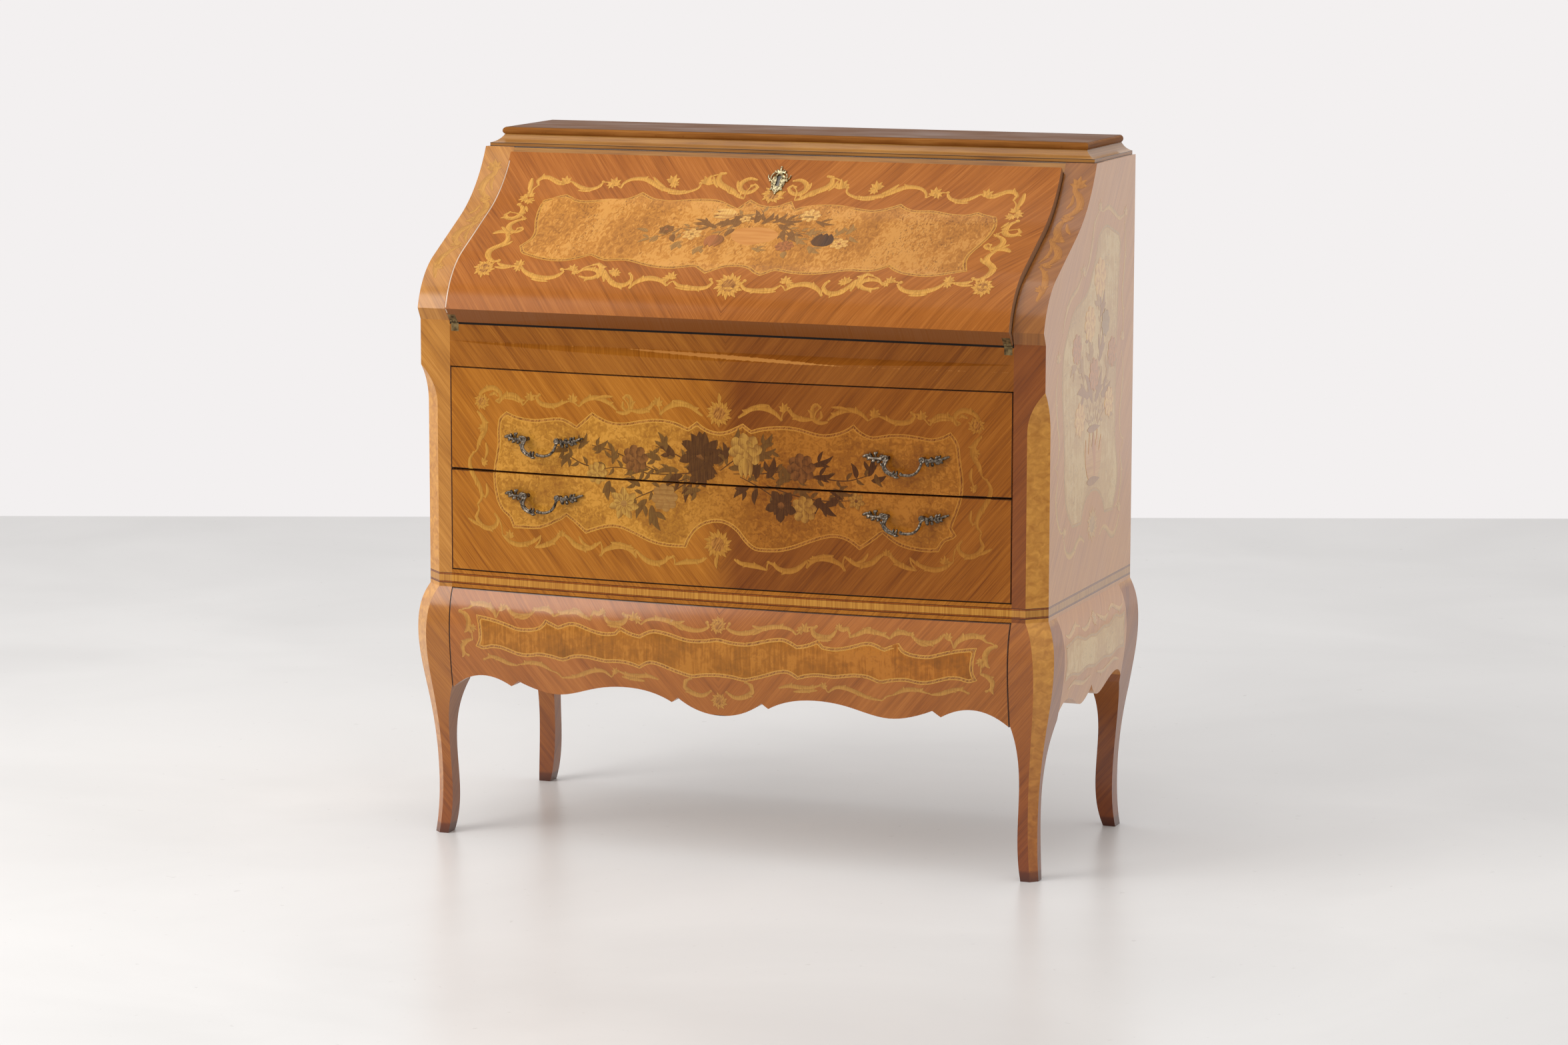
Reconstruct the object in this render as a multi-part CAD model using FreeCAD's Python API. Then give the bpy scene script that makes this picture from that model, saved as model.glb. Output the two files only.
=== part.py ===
import FreeCAD, Part
import os
from math import acos, asin, atan2, cos, degrees, radians, sin, sqrt, tan

# Slant-front desk: an ogee fall over two bowed drawers, on a cabriole stand with a shaped apron drawer.
# Millimetres, +Z up. It is drawn with X = 0 at the middle, Y = 0 on the stile faces (+Y to the back)
# and Z = 0 on the floor, and every piece is then moved so that the origin is under the middle of its box.

V = FreeCAD.Vector

# Heights, stacked from the floor up
stand_height = 373.0
band_height = 26.0
lower_opening_height = 149.8
upper_opening_height = 151.2
frieze_height = 66.5
desk_rise = 236.5
cornice_height = 17.7
top_board_thickness = 10.3

# Case
case_width = 954.0
case_depth = 436.0
side_thickness = 22.0
stile_width = 46.5
stile_depth = 30.0
cant_width = 26.0
cant_run_out = 58.0
board_thickness = 18.0
divider_thickness = 16.0
back_thickness = 8.0
back_inset = 4.0
bed_thickness = 20.0
bow = 20.0
ledge_below_bed = 29.5
ledge_slope = 27.0
cheek_foot_depth = 50.0
cheek_top_depth = 40.0
cheek_edge_height = 17.5
frieze_chamfer = 1.5
guide_height = 25.0

# Ogee of the cheeks and the fall, seen from the side
ogee_mid_back = 94.0
ogee_mid_rise = 113.5
ogee_slope = 27.8
ogee_straight = 108.0
ogee_lower_radius = 112.0
ogee_upper_radius = 227.0

# Fall and its hinges
fall_proud = 11.0
fall_slope = 41.4
fall_top_drop = 6.0
fall_side_gap = 1.2
fall_edge_past_pivot = 1.4
fall_face_past_pivot = 0.7
fall_rail_gap = 1.0
fall_stop_gap = 0.5
fall_stop_height = 12.0
pivot_stand_off = 1.9
pivot_drop = 0.5
hinge_width = 12.0
hinge_edge = 1.0
hinge_leaf_length = 15.0
hinge_leaf_thickness = 1.2
knuckle_radius = 2.4
knuckle_clearance = 0.4
knuckle_gap = 0.15
pin_radius = 1.1
running_clearance = 0.05

# Lock in the fall, its bolt and its plate in the top rail
lock_across = 5.5
lock_width = 60.0
lock_height = 58.0
lock_depth = 10.0
lock_wall = 2.0
bolt_width = 24.0
bolt_length = 30.0
bolt_throw = 9.0
bolt_clearance = 0.3
strike_margin = 9.0
strike_thickness = 1.2
keyhole_drop = 39.0
keyhole_radius = 2.6
keyhole_slot = 9.0
escutcheon_width = 33.0
escutcheon_height = 42.0
escutcheon_thickness = 2.5
escutcheon_seat = 0.3
escutcheon_outline = [(0, 1.0), (0.38, 0.78), (0.55, 0.45), (1.0, 0.28), (0.80, -0.15), (0.62, -0.52),
                      (0.30, -0.72), (0, -1.0)]

# Folding brass stays that carry the open fall
stay_on_fall = 170.0
stay_off_face = 12.0
stay_case_depth = 90.0
stay_case_rise = 63.5
stay_case_arm = 140.0
stay_width = 13.0
stay_thickness = 2.8
stay_play = 0.3
stay_collar = 2.0
stay_plate = 1.2
stay_pin_radius = 2.5
stay_head_radius = 4.5
stay_head = 0.6
stay_lap = 1.2
bracket_length = 28.0
bracket_width = 14.0
bracket_ear = 3.3

# Drawers
drawer_gap = 1.2
drawer_side = 12.0
drawer_front_back = 20.0
drawer_back_gap = 24.0
drawer_side_play = 1.0
drawer_bed_play = 0.3
drawer_box_drop = 18.0
drawer_bottom_thickness = 6.0
drawer_bottom_rise = 6.0
drawer_back_drop = 10.0
guide_inset = 2.5

# Handles, cast in one piece
handle_across = 277.0
upper_handle_rise = 51.2
lower_handle_rise = 118.0
handle_post_half = 26.0
handle_post_radius = 4.5
handle_reach = 13.0
handle_belly = 17.0
handle_drop = 22.0
handle_bail_radius = 3.2
handle_boss_radius = 6.0
handle_tip_half = 62.0
handle_tip_lift = 3.0
handle_tip_radius = 1.3
handle_leaf_radius = 5.0

# Cornice and top, stepping inwards as they rise
cornice_fillet_inset = 5.0
cornice_fillet = 5.4
cove_inset = 17.0
cove_bend_in = 0.62
cove_bend_up = 0.38
top_inset = 19.0
top_bullnose = 5.0

# Cabriole stand
knee_out = 13.5
knee_drop = 56.0
brow_share = 0.78
calf_height = 200.0
shin_height = 150.0
calf_in = 1.5
ankle_height = 75.0
ankle_in = 12.5
foot_in = 8.5
leg_block_depth = 62.0
leg_block_height = 147.0
calf_width = 30.0
ankle_width = 26.0
foot_width = 24.0
back_foot_width = 19.0
knee_cant = 24.0
calf_cant = 15.5
ankle_cant = 11.0
foot_cant = 10.0
back_rail_thickness = 22.0
back_rail_height = 123.0

# Apron drawer
apron_back = 16.0
apron_box_inset = 16.5
runner_drop = 97.0
runner_thickness = 14.0
runner_overlap = 16.0
apron_box_height = 74.0
apron_sweep = 1.2

# Lower edge of the front apron from its middle to its end: depths below the case, shares of the half width
apron_lobe_depth = 159.4
apron_notch_depth = 136.5
apron_cusp_depth = 144.0
apron_arch_depth = 126.8
apron_flank_depth = 132.5
apron_belly_depth = 146.3
apron_rise_depth = 138.3
apron_outer_notch_depth = 131.2
apron_outer_cusp_depth = 140.0
apron_outer_arch_depth = 126.8
apron_end_depth = 149.5
apron_notch_share = 0.150
apron_cusp_share = 0.173
apron_arch_share = 0.331
apron_flank_share = 0.452
apron_belly_share = 0.590
apron_rise_share = 0.700
apron_outer_notch_share = 0.743
apron_outer_cusp_share = 0.771
apron_outer_arch_share = 0.879

# Lower edge of a side apron from its middle to an end, in the same way
side_notch_depth = 123.0
side_lip_depth = 138.0
side_belly_depth = 143.5
side_flank_depth = 131.0
side_arch_depth = 122.5
side_end_depth = 136.0
side_lip_share = 0.13
side_belly_share = 0.25
side_flank_share = 0.54
side_arch_share = 0.80

# Gallery inside the desk
gallery_inset = 26.5
gallery_front = 228.0
gallery_height = 188.0
gallery_board = 8.0
gallery_shelf_rise = 66.0
inner_drawer_inside_edge = 150.0
inner_drawer_front = 10.0
inner_drawer_wall = 6.0
inner_drawer_floor = 4.0
inner_drawer_gap = 1.0
inner_drawer_back_gap = 11.0
inner_tray_drop = 8.0
inner_knob_radius = 7.0
inner_knob_length = 14.0
upper_pigeonholes = 4

# Levels and lines that follow from the sizes above
opening_bottom = stand_height + band_height
drawer_split = opening_bottom + lower_opening_height
opening_top = drawer_split + upper_opening_height
desk_height = opening_top + frieze_height
case_top = desk_height + desk_rise
cornice_top = case_top + cornice_height
case_half = case_width / 2
side_inner = case_half - side_thickness
opening_half = case_half - stile_width
back_front = case_depth - back_inset - back_thickness
leg_block_bottom = stand_height - leg_block_height
runner_height = stand_height - runner_drop
apron_box_half = opening_half - apron_box_inset
gallery_half = opening_half - gallery_inset
guide_half = opening_half - guide_inset
bow_radius = (opening_half ** 2 + bow ** 2) / (2 * bow)
bow_axis = V(0, bow_radius - bow, 0)
X_AXIS = V(1, 0, 0)
Y_AXIS = V(0, 1, 0)
Z_AXIS = V(0, 0, 1)
far = case_width + case_depth

parts = {}


def box(x0, x1, y0, y1, z0, z1):
    return Part.makeBox(x1 - x0, y1 - y0, z1 - z0, V(x0, y0, z0))


def both_sides(shape):
    return Part.makeCompound([shape, mirrored(shape)])


def mirrored(shape):
    return shape.mirror(V(0, 0, 0), X_AXIS)


def polygon(points):
    return [Part.LineSegment(a, b).toShape() for a, b in zip(points, points[1:])]


def closed_face(edges):
    wire = Part.Wire(Part.__sortEdges__(edges))
    return Part.Face(wire)


def spline(points):
    curve = Part.BSplineCurve()
    curve.interpolate(points)
    return curve.toShape()


def prism_along_x(corners, x0, x1):
    face = closed_face(polygon([V(x0, y, z) for y, z in corners + corners[:1]]))
    return face.extrude(V(x1 - x0, 0, 0))


def bowed_block(half, back, z0, z1):
    # A block whose front follows the bow in plan and whose back is flat.
    drop = bow_radius - sqrt(bow_radius ** 2 - half ** 2)
    end = -bow + drop
    front = Part.Arc(V(-half, end, z0), V(0, -bow, z0), V(half, end, z0)).toShape()
    rest = polygon([V(half, end, z0), V(half, back, z0), V(-half, back, z0), V(-half, end, z0)])
    return closed_face([front] + rest).extrude(V(0, 0, z1 - z0))


# Ogee: a straight middle with a convex arc below it and a hollow arc above it
ogee_along = V(0, cos(radians(ogee_slope)), sin(radians(ogee_slope)))
ogee_out = V(0, -sin(radians(ogee_slope)), cos(radians(ogee_slope)))
ogee_mid = V(0, ogee_mid_back, desk_height + ogee_mid_rise)
line_low = ogee_mid - ogee_along * (ogee_straight / 2)
line_high = ogee_mid + ogee_along * (ogee_straight / 2)
low_centre = line_low - ogee_out * ogee_lower_radius
high_centre = line_high + ogee_out * ogee_upper_radius


def arc_about(centre, radius, start, end):
    middle = (start + end) * 0.5 - centre
    middle.normalize()
    return Part.Arc(start, centre + middle * radius, end).toShape()


def ogee_edges(proud, low_end, high_end):
    start = line_low + ogee_out * proud
    end = line_high + ogee_out * proud
    lower = arc_about(low_centre, ogee_lower_radius + proud, low_end, start)
    upper = arc_about(high_centre, ogee_upper_radius - proud, end, high_end)
    return [lower, Part.LineSegment(start, end).toShape(), upper]


def low_arc_at(height, proud):
    radius = ogee_lower_radius + proud
    return V(0, low_centre.y - sqrt(radius ** 2 - (height - low_centre.z) ** 2), height)


def high_arc_at(height, proud):
    radius = ogee_upper_radius - proud
    return V(0, high_centre.y + sqrt(radius ** 2 - (height - high_centre.z) ** 2), height)


# Frame of the closed fall: s runs up its inner face from the pivot, t runs out of its face
pivot = V(0, -pivot_stand_off, desk_height - pivot_drop)
fall_up = V(0, cos(radians(fall_slope)), sin(radians(fall_slope)))
fall_out = V(0, -sin(radians(fall_slope)), cos(radians(fall_slope)))
fall_open_angle = 180.0 - fall_slope
fall_top = high_arc_at(case_top - fall_top_drop, fall_proud)
fall_length = (fall_top - pivot).dot(fall_up)
fall_half = opening_half - fall_side_gap


def on_fall(s, t, x=0.0):
    return V(x, 0, 0) + pivot + fall_up * s + fall_out * t


def fall_box(x0, x1, s0, s1, t0, t1):
    shape = box(x0, x1, s0, s1, t0, t1)
    shape.rotate(V(0, 0, 0), X_AXIS, fall_slope)
    shape.translate(pivot)
    return shape


def further_on_circle(start, direction, centre, radius):
    # Further of the two points where a line from start meets a circle.
    reach = centre - start
    along = reach.dot(direction)
    return start + direction * (along + sqrt(radius ** 2 - reach.dot(reach) + along ** 2))


def nearer_on_circle(start, direction, centre, radius):
    reach = centre - start
    along = reach.dot(direction)
    return start + direction * (along - sqrt(radius ** 2 - reach.dot(reach) + along ** 2))


def rod(x0, x1, centre, radius):
    return Part.makeCylinder(radius, x1 - x0, V(x0, centre.y, centre.z), X_AXIS)


def cant_cutter():
    # Bevel of the stile's outer corner, with a rounded run-out at its top.
    depth = cant_width / sqrt(2)
    inward = V(-1, 1, 0) * (1 / sqrt(2))
    across = V(1, 1, 0) * (1 / sqrt(2))
    corner = V(case_half, 0, 0) - across * cant_width * 2
    radius = (cant_run_out ** 2 + depth ** 2) / (2 * depth)
    full = opening_top - cant_run_out

    def at(w, z):
        return corner + inward * w + V(0, 0, z)

    half_run = cant_run_out / 2
    bend = depth - radius + sqrt(radius ** 2 - half_run ** 2)
    run_out = Part.Arc(at(depth, full), at(bend, full + half_run), at(0, opening_top)).toShape()
    outer = polygon([at(0, opening_top), at(-depth, opening_top), at(-depth, 0), at(depth, 0),
                     at(depth, full)])
    return closed_face([run_out] + outer).extrude(across * cant_width * 4)


def make_case():
    stile = box(opening_half, case_half, 0, stile_depth, stand_height, desk_height).cut(cant_cutter())
    parts["stile_right"] = stile
    parts["stile_left"] = mirrored(stile)

    top_front = high_arc_at(case_top, 0)
    cheek_back = top_front.y + cheek_top_depth
    foot = low_arc_at(desk_height + cheek_edge_height, 0)
    edges = ogee_edges(0, foot, top_front)
    edges += polygon([top_front, V(0, cheek_back, case_top), V(0, cheek_foot_depth, desk_height),
                      V(0, 0, desk_height), foot])
    cheek = closed_face(edges).extrude(X_AXIS * stile_width)
    cheek.translate(V(opening_half, 0, 0))
    parts["cheek_right"] = cheek
    parts["cheek_left"] = mirrored(cheek)

    side = prism_along_x([(stile_depth, stand_height), (stile_depth, desk_height),
                          (cheek_foot_depth, desk_height), (cheek_back, case_top),
                          (case_depth, case_top), (case_depth, stand_height)], side_inner, case_half)
    parts["side_panel_right"] = side
    parts["side_panel_left"] = mirrored(side)

    parts["back_panel"] = box(-side_inner, side_inner, back_front, back_front + back_thickness,
                              stand_height, case_top)
    parts["case_top"] = box(-side_inner, side_inner, cheek_back, back_front,
                            case_top - board_thickness, case_top)
    parts["writing_bed"] = box(-side_inner, side_inner, stile_depth, back_front,
                               desk_height - bed_thickness, desk_height)
    parts["drawer_divider"] = box(-side_inner, side_inner, stile_depth, back_front,
                                  drawer_split - divider_thickness / 2, divider_top)
    parts["case_bottom"] = box(-side_inner, side_inner, stile_depth, back_front,
                               case_bottom_top - board_thickness, case_bottom_top)
    parts["band_rail"] = bowed_block(opening_half, stile_depth, stand_height, opening_bottom)
    guides = [box(guide_half, side_inner, stile_depth, back_front, level, level + guide_height)
              for level in (divider_top, case_bottom_top)]
    parts["drawer_guides"] = Part.makeCompound(guides + [mirrored(guide) for guide in guides])
    make_top_rail(top_front, cheek_back)


def make_top_rail(top_front, cheek_back):
    # Rail over the fall: its front carries the ogee on, and a lip behind the fall stops it.
    gap_line = fall_length + fall_rail_gap
    inside = -fall_face_past_pivot - fall_stop_gap
    step = on_fall(gap_line, inside)
    front_foot = nearer_on_circle(step, fall_out, high_centre, ogee_upper_radius)
    lip = on_fall(fall_length - fall_stop_height, inside)
    edges = [arc_about(high_centre, ogee_upper_radius, front_foot, top_front)]
    edges += polygon([top_front, V(0, cheek_back, case_top), V(0, cheek_back, lip.z), lip, step, front_foot])
    rail = closed_face(edges).extrude(X_AXIS * (2 * opening_half))
    rail.translate(V(-opening_half, 0, 0))
    plate_half = bolt_half + strike_margin
    plate = fall_box(lock_across - plate_half, lock_across + plate_half,
                     gap_line, gap_line + strike_thickness, bolt_low - lock_wall, bolt_high + lock_wall)
    slot = bolt_room(gap_line - fall_rail_gap / 2, fall_length + bolt_throw + bolt_clearance)
    parts["top_rail"] = rail.cut(plate).cut(slot)
    parts["strike_plate"] = plate.cut(slot)


def make_frieze_rail():
    ledge = desk_height - ledge_below_bed
    lower = bowed_block(opening_half, stile_depth, opening_top, ledge)
    slope = tan(radians(ledge_slope))
    reach = 2 * bow
    wedge = [(0, ledge), (-reach, ledge), (-reach, ledge - slope * reach)]
    lower = lower.cut(prism_along_x(wedge, -far, far))
    upper = box(-opening_half, opening_half, 0, stile_depth, ledge, desk_height)
    corner = [(0, desk_height), (frieze_chamfer, desk_height), (0, desk_height - frieze_chamfer)]
    rail = lower.fuse(upper).removeSplitter().cut(prism_along_x(corner, -far, far))
    for shape in hinge_recesses(case_side=True):
        rail = rail.cut(shape)
    parts["frieze_rail"] = rail


def hinge_span(side):
    outer = fall_half - hinge_edge
    return (outer - hinge_width, outer) if side > 0 else (-outer, -outer + hinge_width)


def hinge_recesses(case_side):
    cuts = []
    for side in (-1, 1):
        x0, x1 = hinge_span(side)
        if case_side:
            leaf_bottom = pivot.z - hinge_leaf_length
            cuts.append(box(x0, x1, -far, hinge_leaf_thickness, leaf_bottom, desk_height + far))
        else:
            leaf_top = hinge_leaf_thickness - fall_edge_past_pivot
            cuts.append(fall_box(x0, x1, -far, leaf_top, -far, hinge_leaf_length))
        cuts.append(rod(x0, x1, pivot, knuckle_radius + knuckle_clearance))
    return cuts


def make_hinges():
    case_leaves, fall_leaves, pins = [], [], []
    clear = knuckle_radius + knuckle_clearance
    for side in (-1, 1):
        x0, x1 = hinge_span(side)
        third = hinge_width / 3
        a, b = x0 + third, x0 + 2 * third
        leaf = box(x0, x1, 0, hinge_leaf_thickness, pivot.z - hinge_leaf_length, pivot.z - clear)
        for low, high in ((x0, a - knuckle_gap), (b + knuckle_gap, x1)):
            neck = box(low, high, 0, hinge_leaf_thickness, pivot.z - clear, pivot.z)
            leaf = leaf.fuse(neck).fuse(rod(low, high, pivot, knuckle_radius))
        case_leaves.append(leaf.cut(rod(x0, x1, pivot, pin_radius)))
        edge = -fall_edge_past_pivot
        leaf = fall_box(x0, x1, edge, edge + hinge_leaf_thickness, clear, hinge_leaf_length)
        neck = fall_box(a, b, edge, edge + hinge_leaf_thickness, 0, clear)
        leaf = leaf.fuse(neck).fuse(rod(a, b, pivot, knuckle_radius))
        fall_leaves.append(leaf.cut(rod(a, b, pivot, pin_radius + running_clearance)))
        pins.append(rod(x0, x1, pivot, pin_radius))
    parts["hinge_case_leaves"] = Part.makeCompound(case_leaves)
    parts["hinge_fall_leaves"] = Part.makeCompound(fall_leaves)
    parts["hinge_pins"] = Part.makeCompound(pins)


# Lock places in the fall's own frame
lock_low = fall_length - lock_height
lock_top = fall_length
bolt_low = -fall_face_past_pivot + lock_wall
bolt_high = lock_depth - fall_face_past_pivot - lock_wall
bolt_half = bolt_width / 2


def bolt_room(s0, s1):
    # The bolt's section with its running clearance all round, along the way it slides.
    half = bolt_half + bolt_clearance
    return fall_box(lock_across - half, lock_across + half, s0, s1,
                    bolt_low - bolt_clearance, bolt_high + bolt_clearance)


def make_fall():
    inner = -fall_face_past_pivot
    edge = -fall_edge_past_pivot
    low_inner = on_fall(edge, inner)
    low_outer = further_on_circle(low_inner, fall_out, low_centre, ogee_lower_radius + fall_proud)
    edges = ogee_edges(fall_proud, low_outer, fall_top)
    edges += polygon([fall_top, on_fall(fall_length, inner), low_inner, low_outer])
    board = closed_face(edges).extrude(X_AXIS * (2 * fall_half))
    board.translate(V(-fall_half, 0, 0))
    for shape in hinge_recesses(case_side=False):
        board = board.cut(shape)
    lock_space = fall_box(lock_across - lock_width / 2, lock_across + lock_width / 2, lock_low, lock_top,
                          inner, inner + lock_depth)
    board = board.cut(lock_space)
    parts["fall_board"] = board

    parts["lock_bolt"] = fall_box(lock_across - bolt_half, lock_across + bolt_half,
                                  fall_length - bolt_length, fall_length, bolt_low, bolt_high)
    room = bolt_room(fall_length - bolt_length - bolt_clearance, fall_length + bolt_throw)
    parts["lock_case"] = lock_space.cut(room)
    make_escutcheon()


def make_escutcheon():
    # Cast plate round the keyhole, bent to the hollow of the fall.
    face_radius = ogee_upper_radius - fall_proud - escutcheon_seat
    centre = nearer_on_circle(on_fall(fall_length - keyhole_drop, 0), fall_out, high_centre, face_radius)
    normal = high_centre - centre
    normal.normalize()
    up = normal.cross(X_AXIS)

    def at(across, rise):
        sideways = X_AXIS * (lock_across + across * escutcheon_width / 2)
        return centre + sideways + up * (rise * escutcheon_height / 2)

    right_side = spline([at(x, y) for x, y in escutcheon_outline])
    left_side = spline([at(-x, y) for x, y in escutcheon_outline])
    deep = 2 * escutcheon_thickness
    outline = closed_face([right_side, left_side])
    outline.translate(normal * -deep)
    plate = outline.extrude(normal * (3 * deep))
    shell = Part.makeCylinder(face_radius, far, V(-far / 2, high_centre.y, high_centre.z), X_AXIS)
    shell = shell.cut(Part.makeCylinder(face_radius - escutcheon_thickness, far,
                                        V(-far / 2, high_centre.y, high_centre.z), X_AXIS))
    plate = plate.common(shell)
    hole = Part.makeCylinder(keyhole_radius, 4 * deep, at(0, 0) - normal * (2 * deep), normal)
    slot = Part.makeBox(keyhole_radius, keyhole_slot, 4 * deep, V(-keyhole_radius / 2, -keyhole_slot, 0))
    turn = FreeCAD.Placement(at(0, 0) - normal * (2 * deep), FreeCAD.Rotation(X_AXIS, up, normal, "ZXY"))
    slot.Placement = turn
    parts["escutcheon"] = plate.cut(hole).cut(slot)


def flat_link(start, end, x0, x1):
    # A flat bar with round ends between two pivots.
    run = end - start
    run.normalize()
    side = X_AXIS.cross(run) * (stay_width / 2)
    cap = run * (stay_width / 2)
    edges = [Part.LineSegment(start + side, end + side).toShape(),
             Part.Arc(end + side, end + cap, end - side).toShape(),
             Part.LineSegment(end - side, start - side).toShape(),
             Part.Arc(start - side, start - cap, start + side).toShape()]
    face = closed_face(edges)
    face.translate(V(x0, 0, 0))
    return face.extrude(V(x1 - x0, 0, 0))


def make_stays():
    face = -fall_face_past_pivot
    on_case = V(0, stay_case_depth, desk_height + stay_case_rise)
    on_board = on_fall(stay_on_fall, face - stay_off_face)
    opened = pivot + FreeCAD.Rotation(X_AXIS, fall_open_angle).multVec(on_board - pivot)
    whole = (opened - on_case).Length
    fall_arm = whole - stay_case_arm
    span = (on_board - on_case).Length
    corner = degrees(acos((stay_case_arm ** 2 + span ** 2 - fall_arm ** 2) / (2 * stay_case_arm * span)))
    toward = on_board - on_case
    rest_angle = degrees(atan2(toward.z, toward.y)) - corner
    elbow = on_case + V(0, cos(radians(rest_angle)), sin(radians(rest_angle))) * stay_case_arm
    straight = opened - on_case
    open_angle = degrees(atan2(straight.z, straight.y)) % 360
    run = on_board - elbow
    fall_arm_turn = open_angle - degrees(atan2(run.z, run.y)) - fall_open_angle

    plate_face = opening_half - stay_plate
    arm_outer = plate_face - stay_collar
    arm_inner = arm_outer - stay_thickness
    arm = flat_link(on_case, elbow, arm_inner, arm_outer)
    arm = arm.cut(rod(arm_inner, arm_outer, on_case, stay_pin_radius + running_clearance))
    stud = rod(plate_face, opening_half, on_case, 2 * stay_head_radius)
    stud = stud.fuse(rod(arm_outer + stay_play, plate_face, on_case, stay_head_radius))
    stud = stud.fuse(rod(arm_inner - stay_play, opening_half, on_case, stay_pin_radius))
    stud = stud.fuse(rod(arm_inner - stay_play - stay_head, arm_inner - stay_play, on_case, stay_head_radius))
    second_outer = arm_inner - stay_lap
    second_inner = second_outer - stay_thickness
    boss = rod(second_outer + stay_play, arm_inner, elbow, stay_head_radius)
    second = flat_link(elbow, on_board, second_inner, second_outer)
    second = second.cut(rod(second_inner, second_outer, on_board, stay_pin_radius + running_clearance))
    ear_face = second_inner - stay_play
    ear = fall_box(ear_face - bracket_ear, ear_face,
                   stay_on_fall - stay_width / 2, stay_on_fall + stay_width / 2,
                   face - stay_off_face - stay_width / 2, face)
    base = fall_box(ear_face - bracket_width, ear_face, stay_on_fall - bracket_length / 2,
                    stay_on_fall + bracket_length / 2, face - stay_plate, face)
    pin = rod(ear_face - bracket_ear, second_outer + stay_play, on_board, stay_pin_radius)
    head = rod(second_outer + stay_play, second_outer + stay_play + stay_head, on_board, stay_head_radius)
    parts["stay_case_studs"] = both_sides(stud)
    parts["stay_case_arms"] = both_sides(arm.fuse(boss).removeSplitter())
    parts["stay_fall_arms"] = both_sides(second)
    parts["stay_fall_brackets"] = both_sides(base.fuse(ear).fuse(pin).fuse(head))
    report["stay on case"] = on_case
    report["stay on fall"] = on_board
    report["case arm ratio"] = (open_angle - rest_angle) / fall_open_angle
    report["fall arm ratio"] = fall_arm_turn / fall_open_angle


# Drawers: lines that the case and the boxes share
divider_top = drawer_split + divider_thickness / 2
case_bottom_top = opening_bottom + drawer_bottom_rise
drawer_half = opening_half - drawer_gap
drawer_box_half = guide_half - drawer_side_play


def handle_solid(x, z):
    # A cast pull: two posts, a hanging bail between them, and a tapering leaf beyond each post.
    left = V(-handle_post_half, -handle_reach, 0)
    right = V(handle_post_half, -handle_reach, 0)
    bail = Part.Arc(left, V(0, -handle_belly, -handle_drop), right).toShape()
    ring = Part.Wire(Part.makeCircle(handle_bail_radius, left, bail.tangentAt(bail.FirstParameter)))
    solid = Part.Wire(bail).makePipeShell([ring], True, False)
    for side in (-1, 1):
        end = V(side * handle_post_half, -handle_reach, 0)
        post = Part.makeCylinder(handle_post_radius, handle_reach + handle_leaf_radius, end, Y_AXIS)
        boss = Part.makeSphere(handle_boss_radius, end)
        tip = V(side * handle_tip_half, -handle_tip_radius, handle_tip_lift)
        root = V(side * handle_post_half, -handle_reach / 2, 0)
        run = tip - root
        leaf = Part.makeCone(handle_leaf_radius, handle_tip_radius, run.Length, root, run)
        solid = solid.fuse(post).fuse(boss).fuse(leaf)
    turn = degrees(asin(x / bow_radius))
    depth = bow_axis.y - sqrt(bow_radius ** 2 - x ** 2)
    solid.rotate(V(0, 0, 0), Z_AXIS, turn)
    solid.translate(V(x, depth, z))
    return solid


def make_long_drawer(name, z0, z1, bed, handle_rise):
    front = bowed_block(drawer_half, drawer_front_back, z0 + drawer_gap, z1 - drawer_gap)
    parts[name + "_front"] = front
    low = bed + drawer_bed_play
    high = z1 - drawer_gap - drawer_box_drop
    make_box(name, drawer_box_half, drawer_front_back, back_front - drawer_back_gap, low, high)
    handles = [handle_solid(side * handle_across, z0 + handle_rise).cut(front) for side in (-1, 1)]
    parts[name + "_handles"] = Part.makeCompound(handles)


def make_box(name, half, front, back, low, high):
    inner = half - drawer_side
    floor = low + drawer_bottom_rise
    parts[name + "_sides"] = both_sides(box(inner, half, front, back, low, high))
    parts[name + "_back"] = box(-inner, inner, back - drawer_side, back, low, high - drawer_back_drop)
    parts[name + "_bottom"] = box(-inner, inner, front, back - drawer_side,
                                  floor, floor + drawer_bottom_thickness)


# Leg profile: how far the outer faces stand out from the case at each height
leg_knots = [(0.0, stand_height), (brow_share * knee_out, stand_height - knee_drop / 2),
             (knee_out, stand_height - knee_drop), (-calf_in, calf_height),
             (-ankle_in, ankle_height), (-foot_in, 0.0)]
leg_cants = [cant_width, (cant_width + knee_cant) / 2, knee_cant, calf_cant, ankle_cant, foot_cant]
leg_foot_levels = [(calf_width, shin_height), (ankle_width, ankle_height)]


def outer_at(height):
    # Offset of the outer line at a height between two knots of the lower leg, for the widths there.
    (a, za), (b, zb) = leg_knots[3], leg_knots[4]
    return a + (b - a) * (height - za) / (zb - za)


def leg_outline(place, inner_top, foot):
    # Profile of a leg: place(offset, height) puts a point, with offsets counted outwards from the case.
    outer = spline([place(offset, height) for offset, height in leg_knots])
    inner_points = [place(inner_top, leg_block_bottom)]
    inner_points += [place(outer_at(height) - width, height) for width, height in leg_foot_levels]
    inner_points.append(place(-foot_in - foot, 0))
    inner = spline(inner_points)
    rest = polygon([place(-foot_in, 0), place(-foot_in - foot, 0)])
    rest += polygon([place(inner_top, leg_block_bottom), place(inner_top, stand_height),
                     place(0, stand_height)])
    return closed_face([outer, inner] + rest)


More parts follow.
